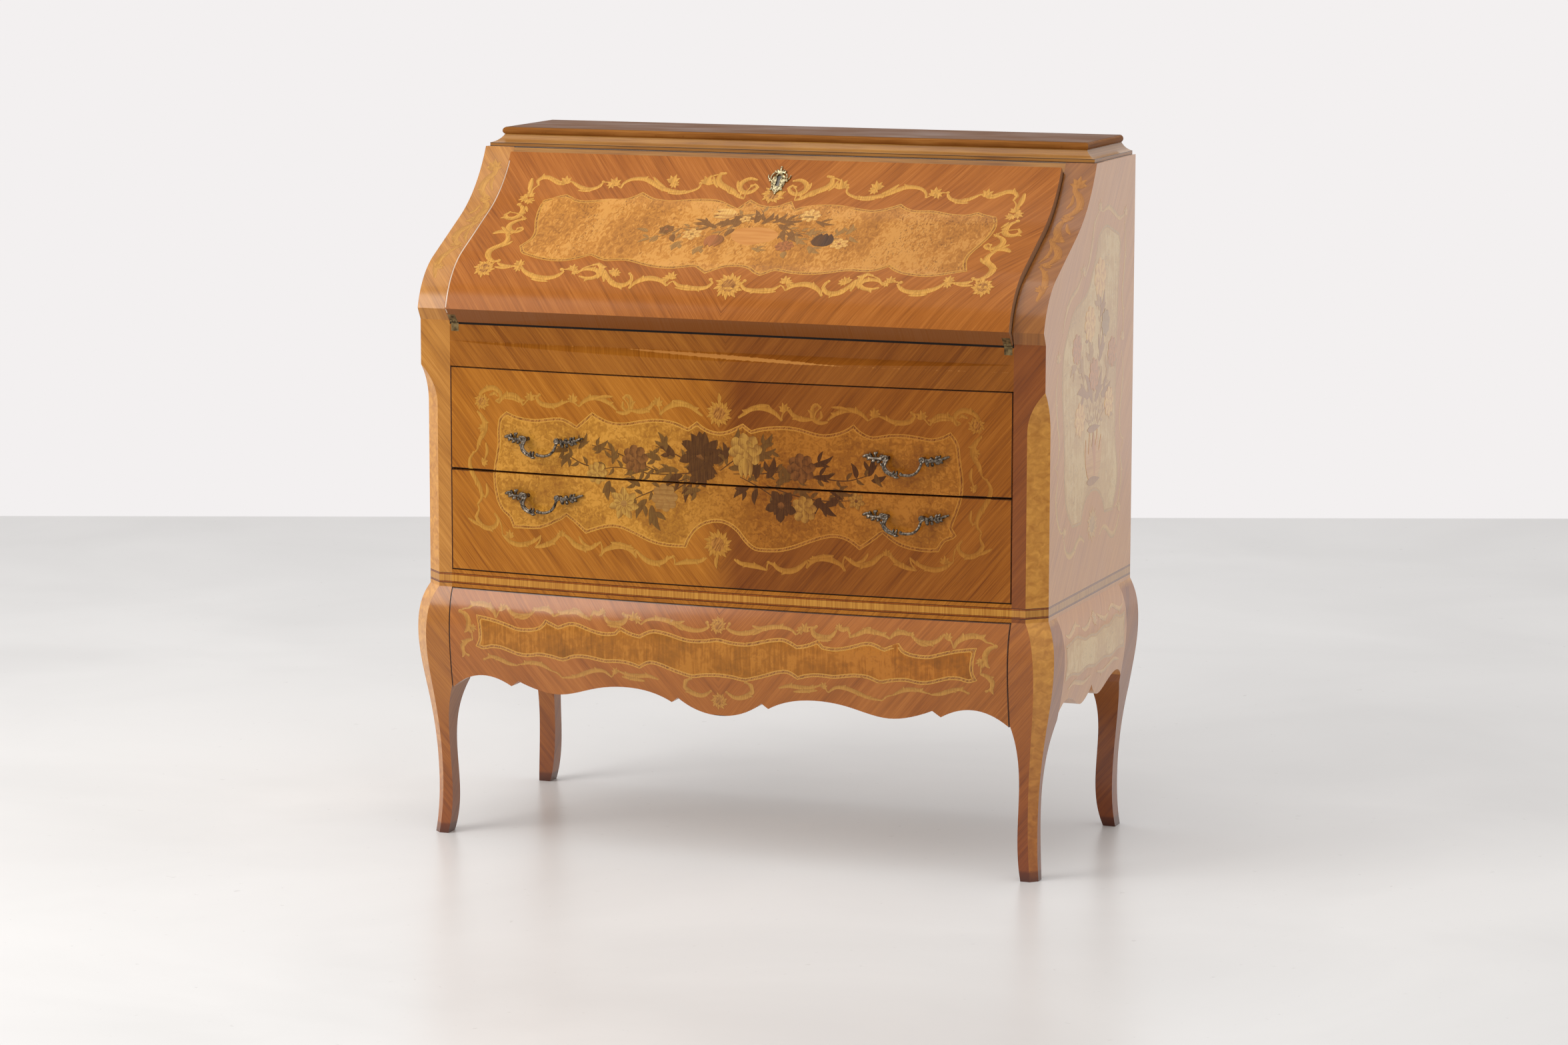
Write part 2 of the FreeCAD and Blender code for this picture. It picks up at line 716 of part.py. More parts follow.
def make_stand():
    def from_front(offset, height):
        return V(case_half + offset, -far, height)

    def from_side(offset, height):
        return V(0, -offset, height)

    outward = V(1, -1, 0) * (1 / sqrt(2))
    across = V(1, 1, 0) * (1 / sqrt(2))
    corner = V(case_half, 0, 0) - across * far / 2

    front_view = leg_outline(from_front, -stile_width, foot_width).extrude(V(0, 3 * far, 0))
    side_view = leg_outline(from_side, -leg_block_depth, foot_width).extrude(V(far, 0, 0))
    leg = front_view.common(side_view)
    bevel = spline([corner + outward * (sqrt(2) * offset - cant / sqrt(2)) + V(0, 0, height)
                    for (offset, height), cant in zip(leg_knots, leg_cants)])
    clear = cant_width * 3
    first, last = bevel.Vertexes[0].Point, bevel.Vertexes[-1].Point
    rim = polygon([first, corner + outward * clear + V(0, 0, stand_height), corner + outward * clear, last])
    leg = leg.cut(closed_face([bevel] + rim).extrude(across * far))
    parts["leg_front_right"] = leg
    parts["leg_front_left"] = mirrored(leg)

    back_front_view = leg_outline(from_front, -stile_width, back_foot_width).extrude(V(0, 3 * far, 0))
    back_side_view = leg_outline(from_side, -leg_block_depth, foot_width).extrude(V(far, 0, 0))
    back_side_view = back_side_view.mirror(V(0, 0, 0), Y_AXIS)
    back_side_view.translate(V(0, case_depth, 0))
    flush = box(-far, far, 0, case_depth, -far, far)
    back_leg = back_front_view.common(back_side_view).common(flush)
    parts["leg_back_right"] = back_leg
    parts["leg_back_left"] = mirrored(back_leg)

    make_side_aprons()
    back_line = case_depth - back_rail_thickness
    parts["stand_back_rail"] = box(-opening_half, opening_half, back_line, case_depth,
                                   stand_height - back_rail_height, stand_height)
    runner = box(apron_box_half - runner_overlap, side_inner, leg_block_depth, case_depth - leg_block_depth,
                 runner_height - runner_thickness, runner_height)
    parts["apron_runners"] = both_sides(runner)


def make_side_aprons():
    start, end = leg_block_depth, case_depth - leg_block_depth
    middle, half = (start + end) / 2, (end - start) / 2
    outer = spline([V(case_half + offset, start, height) for offset, height in leg_knots])
    rest = polygon([V(case_half - foot_in, start, 0), V(side_inner, start, 0),
                    V(side_inner, start, stand_height), V(case_half, start, stand_height)])
    rail = closed_face([outer] + rest).extrude(V(0, end - start, 0))

    def at(share, depth):
        return V(0, middle + share * half, stand_height - depth)

    knots = [(0.0, side_notch_depth), (side_lip_share, side_lip_depth), (side_belly_share, side_belly_depth),
             (side_flank_share, side_flank_depth), (side_arch_share, side_arch_depth), (1.0, side_end_depth)]
    waves = [spline([at(side * share, depth) for share, depth in knots]) for side in (-1, 1)]
    rim = polygon([at(1, side_end_depth), at(1, 0), at(-1, 0), at(-1, side_end_depth)])
    shape = closed_face(waves + rim).extrude(V(far, 0, 0))
    rail = rail.common(shape)
    parts["side_apron_right"] = rail
    parts["side_apron_left"] = mirrored(rail)


def apron_outline(half):
    def at(side, share, depth):
        return V(side * share * half, -far, stand_height - depth)

    wave = [(apron_cusp_share, apron_cusp_depth), (apron_arch_share, apron_arch_depth),
            (apron_flank_share, apron_flank_depth), (apron_belly_share, apron_belly_depth),
            (apron_rise_share, apron_rise_depth), (apron_outer_notch_share, apron_outer_notch_depth)]
    outer = [(apron_outer_cusp_share, apron_outer_cusp_depth),
             (apron_outer_arch_share, apron_outer_arch_depth), (1.0, apron_end_depth)]
    notch = (apron_notch_share, apron_notch_depth)
    edges = [Part.Arc(at(-1, *notch), at(1, 0.0, apron_lobe_depth), at(1, *notch)).toShape()]
    for side in (-1, 1):
        edges.append(Part.LineSegment(at(side, *notch), at(side, *wave[0])).toShape())
        edges.append(spline([at(side, *point) for point in wave]))
        edges.append(Part.LineSegment(at(side, *wave[-1]), at(side, *outer[0])).toShape())
        edges.append(spline([at(side, *point) for point in outer]))
    edges += polygon([at(1, *outer[-1]), at(1, 1.0, drawer_gap), at(-1, 1.0, drawer_gap), at(-1, *outer[-1])])
    return closed_face(edges)


def make_apron_drawer():
    # The front swells like the knees and follows the bow, so it is the knee line turned about the bow's axis.
    outer = spline([V(0, -bow - offset, height) for offset, height in leg_knots])
    behind = bow + apron_back
    rest = polygon([V(0, foot_in - bow, 0), V(0, behind, 0), V(0, behind, stand_height),
                    V(0, -bow, stand_height)])
    turn = apron_sweep * degrees(asin(opening_half / bow_radius))
    section = closed_face([outer] + rest)
    section.rotate(bow_axis, Z_AXIS, -turn)
    swell = section.revolve(bow_axis, Z_AXIS, 2 * turn)
    front = apron_outline(drawer_half).extrude(V(0, far + apron_back, 0)).common(swell)
    parts["apron_drawer_front"] = front
    low = runner_height + drawer_bed_play
    back = case_depth - back_rail_thickness - drawer_back_gap
    make_box("apron_drawer", apron_box_half, apron_back, back, low, low + apron_box_height)


def moulded_slab(profile, z0, side_half, front_line):
    # A slab with one moulding along its front and both ends. Its profile goes from the bottom up in lines
    # of two points and arcs of three, each point being (inset, height).
    def rim(place):
        edges = []
        for points in profile:
            places = [place(inset, z0 + rise) for inset, rise in points]
            curve = Part.Arc(*places) if len(places) == 3 else Part.LineSegment(*places)
            edges.append(curve.toShape())
        return edges

    low, high = profile[0][0], profile[-1][-1]
    front = rim(lambda inset, z: V(-far / 2, front_line + inset, z))
    front += polygon([V(-far / 2, front_line + high[0], z0 + high[1]), V(-far / 2, case_depth, z0 + high[1]),
                      V(-far / 2, case_depth, z0 + low[1]), V(-far / 2, front_line + low[0], z0 + low[1])])
    across = closed_face(front).extrude(V(far, 0, 0))
    ends = rim(lambda inset, z: V(side_half - inset, 0, z)) + rim(lambda inset, z: V(inset - side_half, 0, z))
    for (inset, rise) in (low, high):
        ends += polygon([V(side_half - inset, 0, z0 + rise), V(inset - side_half, 0, z0 + rise)])
    along = closed_face(ends).extrude(V(0, far, 0))
    return across.common(along)


def make_top():
    front_line = high_arc_at(case_top, 0).y
    cove_start = (cornice_fillet_inset, cornice_fillet)
    cove_end = (cornice_fillet_inset + cove_inset, cornice_height)
    cove_height = cornice_height - cornice_fillet
    bend = (cornice_fillet_inset + cove_bend_in * cove_inset, cornice_fillet + cove_bend_up * cove_height)
    profile = [[(cornice_fillet_inset, 0.0), cove_start], [cove_start, bend, cove_end]]
    parts["cornice"] = moulded_slab(profile, case_top, case_half, front_line)
    nose = top_bullnose
    low = (top_inset + nose / 2, 0.0)
    out = (top_inset, top_board_thickness / 2)
    high = (top_inset + nose, top_board_thickness)
    parts["top_board"] = moulded_slab([[low, out, high]], cornice_top, case_half, front_line)


def make_gallery():
    front, back = gallery_front, back_front
    floor = desk_height
    shelf = floor + gallery_shelf_rise
    top = floor + gallery_height
    inner = gallery_half - gallery_board
    boards = [box(-gallery_half, gallery_half, front, back, top, top + gallery_board),
              box(-inner, inner, front, back, shelf, shelf + gallery_board)]
    edge = inner_drawer_inside_edge
    dividers = [box(side - gallery_board / 2, side + gallery_board / 2, front, back, floor, shelf)
                for side in (-edge, edge)]
    pitch = 2 * inner / upper_pigeonholes
    for count in range(1, upper_pigeonholes):
        place = -inner + count * pitch
        dividers.append(box(place - gallery_board / 2, place + gallery_board / 2, front, back,
                            shelf + gallery_board, top))
    parts["gallery_ends"] = both_sides(box(inner, gallery_half, front, back, floor, top))
    parts["gallery_boards"] = Part.makeCompound(boards)
    parts["gallery_dividers"] = Part.makeCompound(dividers)

    x0 = edge + gallery_board / 2 + inner_drawer_gap
    x1 = inner - inner_drawer_gap
    low, high = floor + drawer_bed_play, shelf - inner_drawer_gap
    lip = front + inner_drawer_front
    tail = back - inner_drawer_back_gap
    wall = inner_drawer_wall
    face = box(x0, x1, front, lip, low, high)
    tray = box(x0, x1, lip, tail, low, high - inner_tray_drop)
    tray = tray.cut(box(x0 + wall, x1 - wall, lip + wall, tail - wall, low + inner_drawer_floor, high))
    middle = V((x0 + x1) / 2, front, (low + high) / 2)
    stem = inner_knob_length - inner_knob_radius
    knob = Part.makeCylinder(inner_knob_radius / 2, stem, middle, V(0, -1, 0))
    knob = knob.fuse(Part.makeSphere(inner_knob_radius, middle - V(0, stem, 0)))
    knob = knob.common(box(-far, far, -far, front, -far, far))
    for side, shape_of in (("right", lambda shape: shape), ("left", mirrored)):
        parts["inner_drawer_%s_front" % side] = shape_of(face)
        parts["inner_drawer_%s_tray" % side] = shape_of(tray)
        parts["inner_drawer_%s_knob" % side] = shape_of(knob)


report = {}
make_case()
make_frieze_rail()
make_hinges()
make_fall()
make_stays()
make_long_drawer("upper_drawer", drawer_split, opening_top, divider_top, upper_handle_rise)
make_long_drawer("lower_drawer", opening_bottom, drawer_split, case_bottom_top, lower_handle_rise)
make_stand()
make_apron_drawer()
make_top()
make_gallery()

# The origin goes under the middle of the whole box
whole = Part.makeCompound(list(parts.values())).optimalBoundingBox(False, False)
to_origin = V(0, -(whole.YMin + whole.YMax) / 2, 0)
os.makedirs("parts", exist_ok=True)
for name, shape in sorted(parts.items()):
    shape = shape.copy()
    shape.translate(to_origin)
    shape.exportStep("parts/%s.step" % name)
    count = len(shape.Solids)
    print("%-26s solids %d volume %.1f cm3 valid %s" % (name, count, shape.Volume / 1000, shape.isValid()))
print("box X %.2f %.2f  Y %.2f %.2f  Z %.2f %.2f" % (whole.XMin, whole.XMax, whole.YMin + to_origin.y,
                                                    whole.YMax + to_origin.y, whole.ZMin, whole.ZMax))
print("moved back by %.4f" % to_origin.y)
print("fall pivot", pivot + to_origin, "opens %.4f degrees, length %.3f" % (fall_open_angle, fall_length))
print("bolt runs along", fall_up)
for name, value in report.items():
    print(name, value + to_origin if isinstance(value, FreeCAD.Vector) else value)
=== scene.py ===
# %% [markdown]
# A slant-front writing desk: a bow-fronted case on short cabriole legs, veneered all over in diagonal kingwood and
# inlaid with scrolls and bouquets. The solids, their places and the ways they move come from the imported CAD model, so
# this lesson only dresses them. It loads the model first. Nothing made here may outgrow it.

# %% Load the imported desk
import math

import bmesh
import bpy
from mathutils import Matrix, Vector
from mathutils.bvhtree import BVHTree
from mathutils.geometry import interpolate_bezier
from mathutils.kdtree import KDTree


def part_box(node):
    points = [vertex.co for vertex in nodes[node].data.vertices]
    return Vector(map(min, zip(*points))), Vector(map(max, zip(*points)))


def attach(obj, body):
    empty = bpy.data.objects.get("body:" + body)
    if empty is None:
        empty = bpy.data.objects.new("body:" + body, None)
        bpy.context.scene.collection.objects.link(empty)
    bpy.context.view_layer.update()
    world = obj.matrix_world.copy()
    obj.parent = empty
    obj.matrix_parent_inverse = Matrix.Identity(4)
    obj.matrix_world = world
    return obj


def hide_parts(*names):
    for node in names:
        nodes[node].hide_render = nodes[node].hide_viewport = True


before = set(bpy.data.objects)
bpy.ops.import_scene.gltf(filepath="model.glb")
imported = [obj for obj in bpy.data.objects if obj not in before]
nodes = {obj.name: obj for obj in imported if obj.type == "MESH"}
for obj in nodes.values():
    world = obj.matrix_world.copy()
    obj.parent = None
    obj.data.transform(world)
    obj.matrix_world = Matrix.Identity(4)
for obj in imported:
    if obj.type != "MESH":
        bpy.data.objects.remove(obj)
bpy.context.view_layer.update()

from types import SimpleNamespace

MM = 0.001

# %% [markdown]
# The camera stands a little right of the middle and looks slightly down, through a long lens, so the
# desk's uprights stay nearly parallel. Its place was worked out from the desk's own corners in the
# picture. A focal length in pixels becomes a lens in millimetres through the picture's width.

# %% Camera
PICTURE_WIDTH = 2352
FOCAL_PIXELS = 6943.7
YAW, PITCH, ROLL = 0.3560, 0.1521, 0.0017
eye = Vector((2.3637, -6.3175, 1.4971))

camera = bpy.data.objects.new("camera", bpy.data.cameras.new("camera"))
camera.data.sensor_width = 36.0
camera.data.lens = FOCAL_PIXELS * camera.data.sensor_width / PICTURE_WIDTH
camera.data.clip_end = 200.0
aim = Matrix.Rotation(YAW, 4, "Z") @ Matrix.Rotation(math.pi / 2 - PITCH, 4, "X")
camera.matrix_world = Matrix.Translation(eye) @ aim @ Matrix.Rotation(ROLL, 4, "Z")
bpy.context.scene.collection.objects.link(camera)
bpy.context.scene.camera = camera
print("lens in mm:", round(camera.data.lens, 1))

# %% [markdown]
# Every finish below is a small net of nodes. Two helpers keep the nets short: one turns an sRGB
# hex colour into the linear numbers that Blender works with, and one adds a node, sets it up and
# links it. An input that is given a socket is linked, and anything else is written on the socket.

# %% Colour and node helpers
def linear(code):
    """A colour written as #rrggbb, as linear red, green, blue and alpha."""
    parts = [int(code[i:i + 2], 16) / 255 for i in (1, 3, 5)]
    return [p / 12.92 if p <= 0.04045 else ((p + 0.055) / 1.055) ** 2.4 for p in parts] + [1.0]


def add(tree, kind, inputs=None, stops=(), **settings):
    """One node, with its settings, its inputs and, on a colour ramp, its stops."""
    node = tree.nodes.new("ShaderNode" + kind)
    for name, value in settings.items():
        setattr(node, name, value)
    for name, value in (inputs or {}).items():
        if isinstance(value, bpy.types.NodeSocket):
            tree.links.new(value, node.inputs[name])
        else:
            node.inputs[name].default_value = value
    for i, (place, code) in enumerate(stops):
        stop = node.color_ramp.elements[i] if i < 2 else node.color_ramp.elements.new(place)
        stop.position = place
        stop.color = linear(code)
    return node


def blank(name):
    """A new material with only its shader and output."""
    material = bpy.data.materials.new(name)
    material.use_nodes = True
    tree = material.node_tree
    tree.nodes.clear()
    shader = add(tree, "BsdfPrincipled")
    add(tree, "OutputMaterial", {"Surface": shader.outputs[0]})
    return material, tree, shader


print("mid grey in linear light:", round(linear("#808080")[0], 3))

# %% [markdown]
# The desk stands on a pale painted floor in front of a white wall. A real wall would hide the desk
# from behind, so the wall is only the colour of the world, seen by the eye and by mirror-like
# reflections, and the floor ends where the wall would start, and far out of sight elsewhere. What
# lights the desk is a softer sky, a wide lamp on the left, as from a window, and a larger one overhead.

# %% Floor, wall and light
FLOOR_END, FLOOR_HALF = 9.84, 60.0
floor_mesh = bmesh.new()
bmesh.ops.create_grid(floor_mesh, x_segments=1, y_segments=1, size=FLOOR_HALF)
bmesh.ops.translate(floor_mesh, vec=(0, FLOOR_END - FLOOR_HALF, 0), verts=floor_mesh.verts)
bmesh.ops.rotate(floor_mesh, matrix=Matrix.Rotation(YAW, 3, "Z"), verts=floor_mesh.verts)
bmesh.ops.translate(floor_mesh, vec=(eye.x, eye.y, 0), verts=floor_mesh.verts)
floor = bpy.data.objects.new("floor", bpy.data.meshes.new("floor"))
floor_mesh.to_mesh(floor.data)
floor_mesh.free()
bpy.context.scene.collection.objects.link(floor)

# Smooth white floor paint: nearly even, with faint scuffs, and enough shine to mirror the wall dimly.
paint, tree, shader = blank("smooth_floor_paint")
spot = add(tree, "TexCoord").outputs["Object"]
scuffs, specks = [add(tree, "TexNoise", {"Vector": spot, "Scale": 1 / (size * MM), "Detail": detail,
                                          "Distortion": 0.5}).outputs["Fac"]
                  for size, detail in ((700, 6.0), (14, 2.0))]
tint = add(tree, "ValToRGB", {"Fac": scuffs}, stops=[(0.3, "#dbdad9"), (0.65, "#e6e5e4")]).outputs[0]
mark = add(tree, "MapRange", {0: specks, 1: 0.72, 2: 0.78, 3: 0.0, 4: 0.35}).outputs[0]
tint = add(tree, "Mix", {0: mark, 6: tint, 7: linear("#b4b0ad")}, data_type="RGBA").outputs[2]
tree.links.new(tint, shader.inputs["Base Color"])
shader.inputs["Roughness"].default_value = 0.32
shader.inputs["Specular IOR Level"].default_value = 0.5
floor.data.materials.append(paint)

world = bpy.data.worlds.new("studio")
bpy.context.scene.world = world
world.use_nodes = True
tree = world.node_tree
tree.nodes.clear()
path = add(tree, "LightPath")
seen = path.outputs["Is Camera Ray"]
for also in ("Is Glossy Ray", "Is Transmission Ray"):
    seen = add(tree, "Math", {0: seen, 1: path.outputs[also]}, operation="MAXIMUM").outputs[0]
wall = add(tree, "Background", {"Color": linear("#f3f0f0"), "Strength": 1.0})
sky = add(tree, "Background", {"Color": linear("#fbfaf9"), "Strength": 0.68})
both = add(tree, "MixShader", {0: seen, 1: sky.outputs[0], 2: wall.outputs[0]})
add(tree, "OutputWorld", {"Surface": both.outputs[0]})

lamps = (("window", (-2.2, -2.4, 2.0), 1.8, 56.0), ("ceiling", (-0.4, -0.9, 4.4), 4.0, 70.0))
for name, place, size, watts in lamps:
    lamp = bpy.data.objects.new(name, bpy.data.lights.new(name, "AREA"))
    lamp.data.shape = "SQUARE"
    lamp.data.size = size
    lamp.data.energy = watts
    lamp.data.color = linear("#fffdfa")[:3]
    lamp.location = place
    lamp.rotation_euler = (Vector((0, 0, 0.5)) - lamp.location).to_track_quat("-Z", "Y").to_euler()
    bpy.context.scene.collection.objects.link(lamp)
bpy.context.scene.view_settings.view_transform = "Standard"
print("lamps:", [name for name, *_ in lamps])

# %% [markdown]
# Most of the desk is covered in kingwood veneer under a worn French polish. Polish could be painted
# on as a second skin, but the shader's clear coat over a dull face gives the same look. Old polish
# that has bloomed is milky at a low angle, which the shader's sheen gives.

# %% French polish
USUAL_GLOSS = 0.3


def polish(tree, shader, colour, height, rough, gloss=USUAL_GLOSS, haze=0.0, depth_mm=0.04):
    """French polish over wood: a clear coat on a fairly smooth face, with the grain just felt."""
    tree.links.new(colour, shader.inputs["Base Color"])
    tree.links.new(rough, shader.inputs["Roughness"])
    bump = add(tree, "Bump", {"Height": height, "Strength": 0.5, "Distance": depth_mm * MM})
    tree.links.new(bump.outputs[0], shader.inputs["Normal"])
    for name, value in (("Coat Weight", gloss), ("Coat Roughness", 0.2), ("Specular IOR Level", 0.03),
                        ("Sheen Weight", haze), ("Sheen Roughness", 0.5), ("Sheen Tint", linear("#fff6ea"))):
        shader.inputs[name].default_value = value


print("weight of the polish unless a board says otherwise:", USUAL_GLOSS)

# %% [markdown]
# A sheet of veneer lies flat on its face, so its two coordinates are chosen by the way the face
# points: across and up on the front, depth and height on the sides. On the fall, up runs along
# the board. Where two sheets are matched, the distance from the middle takes the place of across.

# %% Coordinates on a sheet
FALL_UP = (0.0, 0.7501, 0.6613)


def sheet_of(tree, up=(0, 0, 1), matched=True):
    """Coordinates on the sheet of veneer on each face, its place, and the way the face points."""
    coords = add(tree, "TexCoord")
    spot, facing = coords.outputs["Object"], coords.outputs["Normal"]
    place = add(tree, "SeparateXYZ", {0: spot})
    x = place.outputs[0]
    if matched:
        x = add(tree, "Math", {0: x}, operation="ABSOLUTE").outputs[0]
    v = add(tree, "VectorMath", {0: spot, 1: up}, operation="DOT_PRODUCT").outputs["Value"]
    front = add(tree, "CombineXYZ", {0: x, 1: v}).outputs[0]
    side = add(tree, "CombineXYZ", {0: place.outputs[1], 1: place.outputs[2], 2: 0.3}).outputs[0]
    way = add(tree, "SeparateXYZ", {0: add(tree, "VectorMath", {0: facing}, operation="ABSOLUTE").outputs[0]})
    on_side = add(tree, "Math", {0: way.outputs[0], 1: 0.85}, operation="GREATER_THAN").outputs[0]
    sheet = add(tree, "Mix", {0: on_side, 4: front, 5: side}, data_type="VECTOR").outputs[1]
    return sheet, place, way, add(tree, "SeparateXYZ", {0: facing}).outputs[2]


print("the fall slopes at", round(math.degrees(math.asin(FALL_UP[2])), 1), "degrees")

# %% [markdown]
# Kingwood is brown with stripes, and here it is laid on the slant, so that two matched sheets form an
# inverted V. An image would do, but noise that is stretched far along the grain and hardly across
# it gives stripes of a real width on any face. Three such noises make the tone, a wide one fades
# the sheet in clouds, and the finest makes pores. What only some boards show is laid over afterwards.

# %% Veneer finish
USUAL_SLANT = 50
# Each noise's size along the grain and across it, in mm, and its detail.
GRAIN_MM = ((60, 1.2, 3), (150, 5, 4), (260, 22, 2), (120, 60, 3), (8, 0.6, 1))


def veneer(name, dark, mid, light, angle=USUAL_SLANT, up=(0, 0, 1), matched=True, right_tone_and_shade="#ffffff",
           far_right_tone_and_shade=None, extras=(), gloss=USUAL_GLOSS, haze=0.0):
    """Striped veneer, its grain turned by an angle in degrees, with any extras and the polish over it."""
    material, tree, shader = blank(name)
    sheet, place, way, rising = sheet_of(tree, up, matched)
    stripe, figure, broad, cloud, pore = [
        add(tree, "TexNoise", {"Vector": add(tree, "Mapping", {
            "Vector": sheet, "Rotation": (0, 0, math.radians(angle)),
            "Scale": (along * MM, across * MM, 0.1)}, vector_type="TEXTURE").outputs[0],
            "Scale": 1.0, "Detail": float(detail)}).outputs["Fac"]
        for along, across, detail in GRAIN_MM]
    tone = add(tree, "Math", {0: broad, 1: 0.27}, operation="MULTIPLY").outputs[0]
    for part, share in ((figure, 0.33), (stripe, 0.4)):
        tone = add(tree, "Math", {0: part, 1: share, 2: tone}, operation="MULTIPLY_ADD").outputs[0]
    colour = add(tree, "ValToRGB", {"Fac": tone},
                 stops=[(0.37, dark), (0.63, light), (0.5, mid)]).outputs[0]
    faded = add(tree, "MapRange", {0: cloud, 1: 0.35, 2: 0.7, 3: 0.0, 4: 0.4}).outputs[0]
    colour = add(tree, "Mix", {0: faded, 6: colour, 7: linear(light)}, data_type="RGBA").outputs[2]
    pit = add(tree, "MapRange", {0: pore, 1: 0.66, 2: 0.74, 3: 0.0, 4: 0.35}).outputs[0]
    colour = add(tree, "Mix", {0: pit, 6: colour, 7: linear(dark)}, data_type="RGBA").outputs[2]
    # Right of the join the colour is darkened, partly by the right sheet's own deeper tone and partly as painted shade
    # where the light falls off to the right. It is darkest at the join and paler at its far end.
    right = add(tree, "MapRange", {0: place.outputs[0], 1: -0.45, 2: 0.45}).outputs[0]
    depth = add(tree, "ValToRGB", {"Fac": right}, stops=[
        (0.0, "#ffffff"), (1.0, far_right_tone_and_shade or right_tone_and_shade), (0.47, "#ffffff"), (0.53, right_tone_and_shade)]).outputs[0]
    colour = add(tree, "Mix", {0: 1.0, 6: colour, 7: depth}, data_type="RGBA", blend_type="MULTIPLY").outputs[2]
    net = SimpleNamespace(tree=tree, sheet=sheet, place=place.outputs, way=way.outputs, rising=rising,
                          stripe=stripe, figure=figure, dark=dark)
    for extra in extras:
        colour = extra(net, colour)
    rough = add(tree, "MapRange", {0: cloud, 1: 0.3, 2: 0.7, 3: 0.32, 4: 0.5}).outputs[0]
    polish(tree, shader, colour, stripe, rough, gloss, haze)
    return material


print("finest stripe in mm:", min(across for _, across, _ in GRAIN_MM), "at a slant of", USUAL_SLANT, "degrees")

# %% [markdown]
# Some boards carry other woods: burl on the slanted corners, plain lipping round the fall, and a
# band across the whole case at the foot of the drawers, cut across the grain between light and
# dark strings. Separate strips could be laid for these, but they are flush, so colour is enough. Each
# extra takes the colour so far and lays its own over it, by the way a face points or by its height.

# %% Other woods on the veneer
GOLD_BURL = ("#b47426", "#d8983e")
BAND_LOW, BAND_HIGH = 378.5 * MM, 393.7 * MM


def golden_corners(net, colour):
    """Golden burl on the slanted corners: faces that point as much to the side as to the front."""
    knots = add(net.tree, "TexNoise", {"Vector": net.sheet, "Scale": 1 / (9 * MM), "Detail": 4.0,
                                       "Distortion": 0.8}).outputs["Fac"]
    gold = add(net.tree, "ValToRGB", {"Fac": knots},
               stops=[(0.3, GOLD_BURL[0]), (0.7, GOLD_BURL[1])]).outputs[0]
    sideways = add(net.tree, "MapRange", {0: net.way[0], 1: 0.45, 2: 0.5}).outputs[0]
    not_side = add(net.tree, "MapRange", {0: net.way[0], 1: 0.88, 2: 0.92, 3: 1.0, 4: 0.0}).outputs[0]
    corner = add(net.tree, "Math", {0: sideways, 1: not_side}, operation="MULTIPLY").outputs[0]
    return add(net.tree, "Mix", {0: corner, 6: colour, 7: gold}, data_type="RGBA").outputs[2]


def lipping(net, colour):
    """Plain lipping on the ends of a board, painted pale grey as painted light, and on its foot, which looks down."""
    ends = add(net.tree, "Math", {0: net.way[0], 1: 0.8}, operation="GREATER_THAN").outputs[0]
    foot = add(net.tree, "Math", {0: net.rising, 1: -0.3}, operation="LESS_THAN").outputs[0]
    # The ends get a pale grey-brown as painted light, for faces that look away from the lamps; the foot gets plain
    # brown.
    for bare, shade in ((ends, "#c09c7c"), (foot, "#8a5a36")):
        plain = add(net.tree, "Mix", {0: net.stripe, 6: linear(shade), 7: linear(net.dark)},
                    data_type="RGBA").outputs[2]
        colour = add(net.tree, "Mix", {0: bare, 6: colour, 7: plain}, data_type="RGBA").outputs[2]
    return colour


def cross_band(net, colour):
    """A band of cross-cut wood between strings, by height on the case."""
    rise = add(net.tree, "MapRange", {0: net.place[2], 1: BAND_LOW, 2: BAND_HIGH}).outputs[0]
    short = add(net.tree, "TexNoise", {"Vector": add(net.tree, "Mapping", {
        "Vector": net.sheet, "Scale": (2.2 * MM, 60 * MM, 1)}, vector_type="TEXTURE").outputs[0],
        "Scale": 1.0, "Detail": 2.0}).outputs["Fac"]
    across = add(net.tree, "ValToRGB", {"Fac": short}, stops=[(0.35, "#a86e28"), (0.65, "#c08838")]).outputs[0]
    string = add(net.tree, "ValToRGB", {"Fac": rise}, stops=[
        (0.0, "#5a3518"), (0.08, "#e0b060"), (0.14, "#70461e"), (0.19, "#ffffff"), (0.81, "#70461e"),
        (0.86, "#e0b060"), (0.93, "#5a3518")])
    string.color_ramp.interpolation = "CONSTANT"
    across = add(net.tree, "Mix", {0: 1.0, 6: across, 7: string.outputs[0]},
                 data_type="RGBA", blend_type="MULTIPLY").outputs[2]
    middle, half = (BAND_LOW + BAND_HIGH) / 2, (BAND_HIGH - BAND_LOW) / 2
    inside = add(net.tree, "Math", {0: net.place[2], 1: middle, 2: half}, operation="COMPARE").outputs[0]
    return add(net.tree, "Mix", {0: inside, 6: colour, 7: across}, data_type="RGBA").outputs[2]


print("band width in mm:", round((BAND_HIGH - BAND_LOW) / MM, 1))

# %% [markdown]
# The rest of the extras are painted shade and age: painted shade along the edges of the drawers and in the quirks of
# the mouldings, painted shade in the gap under the fall, a top that has lost its polish, legs that are darker towards
# the floor, and a long sliver of veneer broken off the frieze. A noise could scatter wear and shade anywhere, but each
# has a cause, so each has its own place.

# %% Wear and painted shade on the veneer
GAP_SHADE_RISE = 0.7612
EDGE_SHADE_HALF = 0.9 * MM
# The scar's left end, right end, height at each of these, and half its width, all in metres.
SCAR = (-0.160, 0.190, 0.7365, 0.7265, 0.0024)


def painted_gap_shade(net, colour):
    """Painted shade: above this height the frieze rail is painted near black, for the shade in the gap under the fall.
    """
    in_gap_shade = add(net.tree, "Math", {0: net.place[2], 1: GAP_SHADE_RISE}, operation="GREATER_THAN").outputs[0]
    return add(net.tree, "Mix", {0: in_gap_shade, 6: colour, 7: linear("#140a04")}, data_type="RGBA").outputs[2]


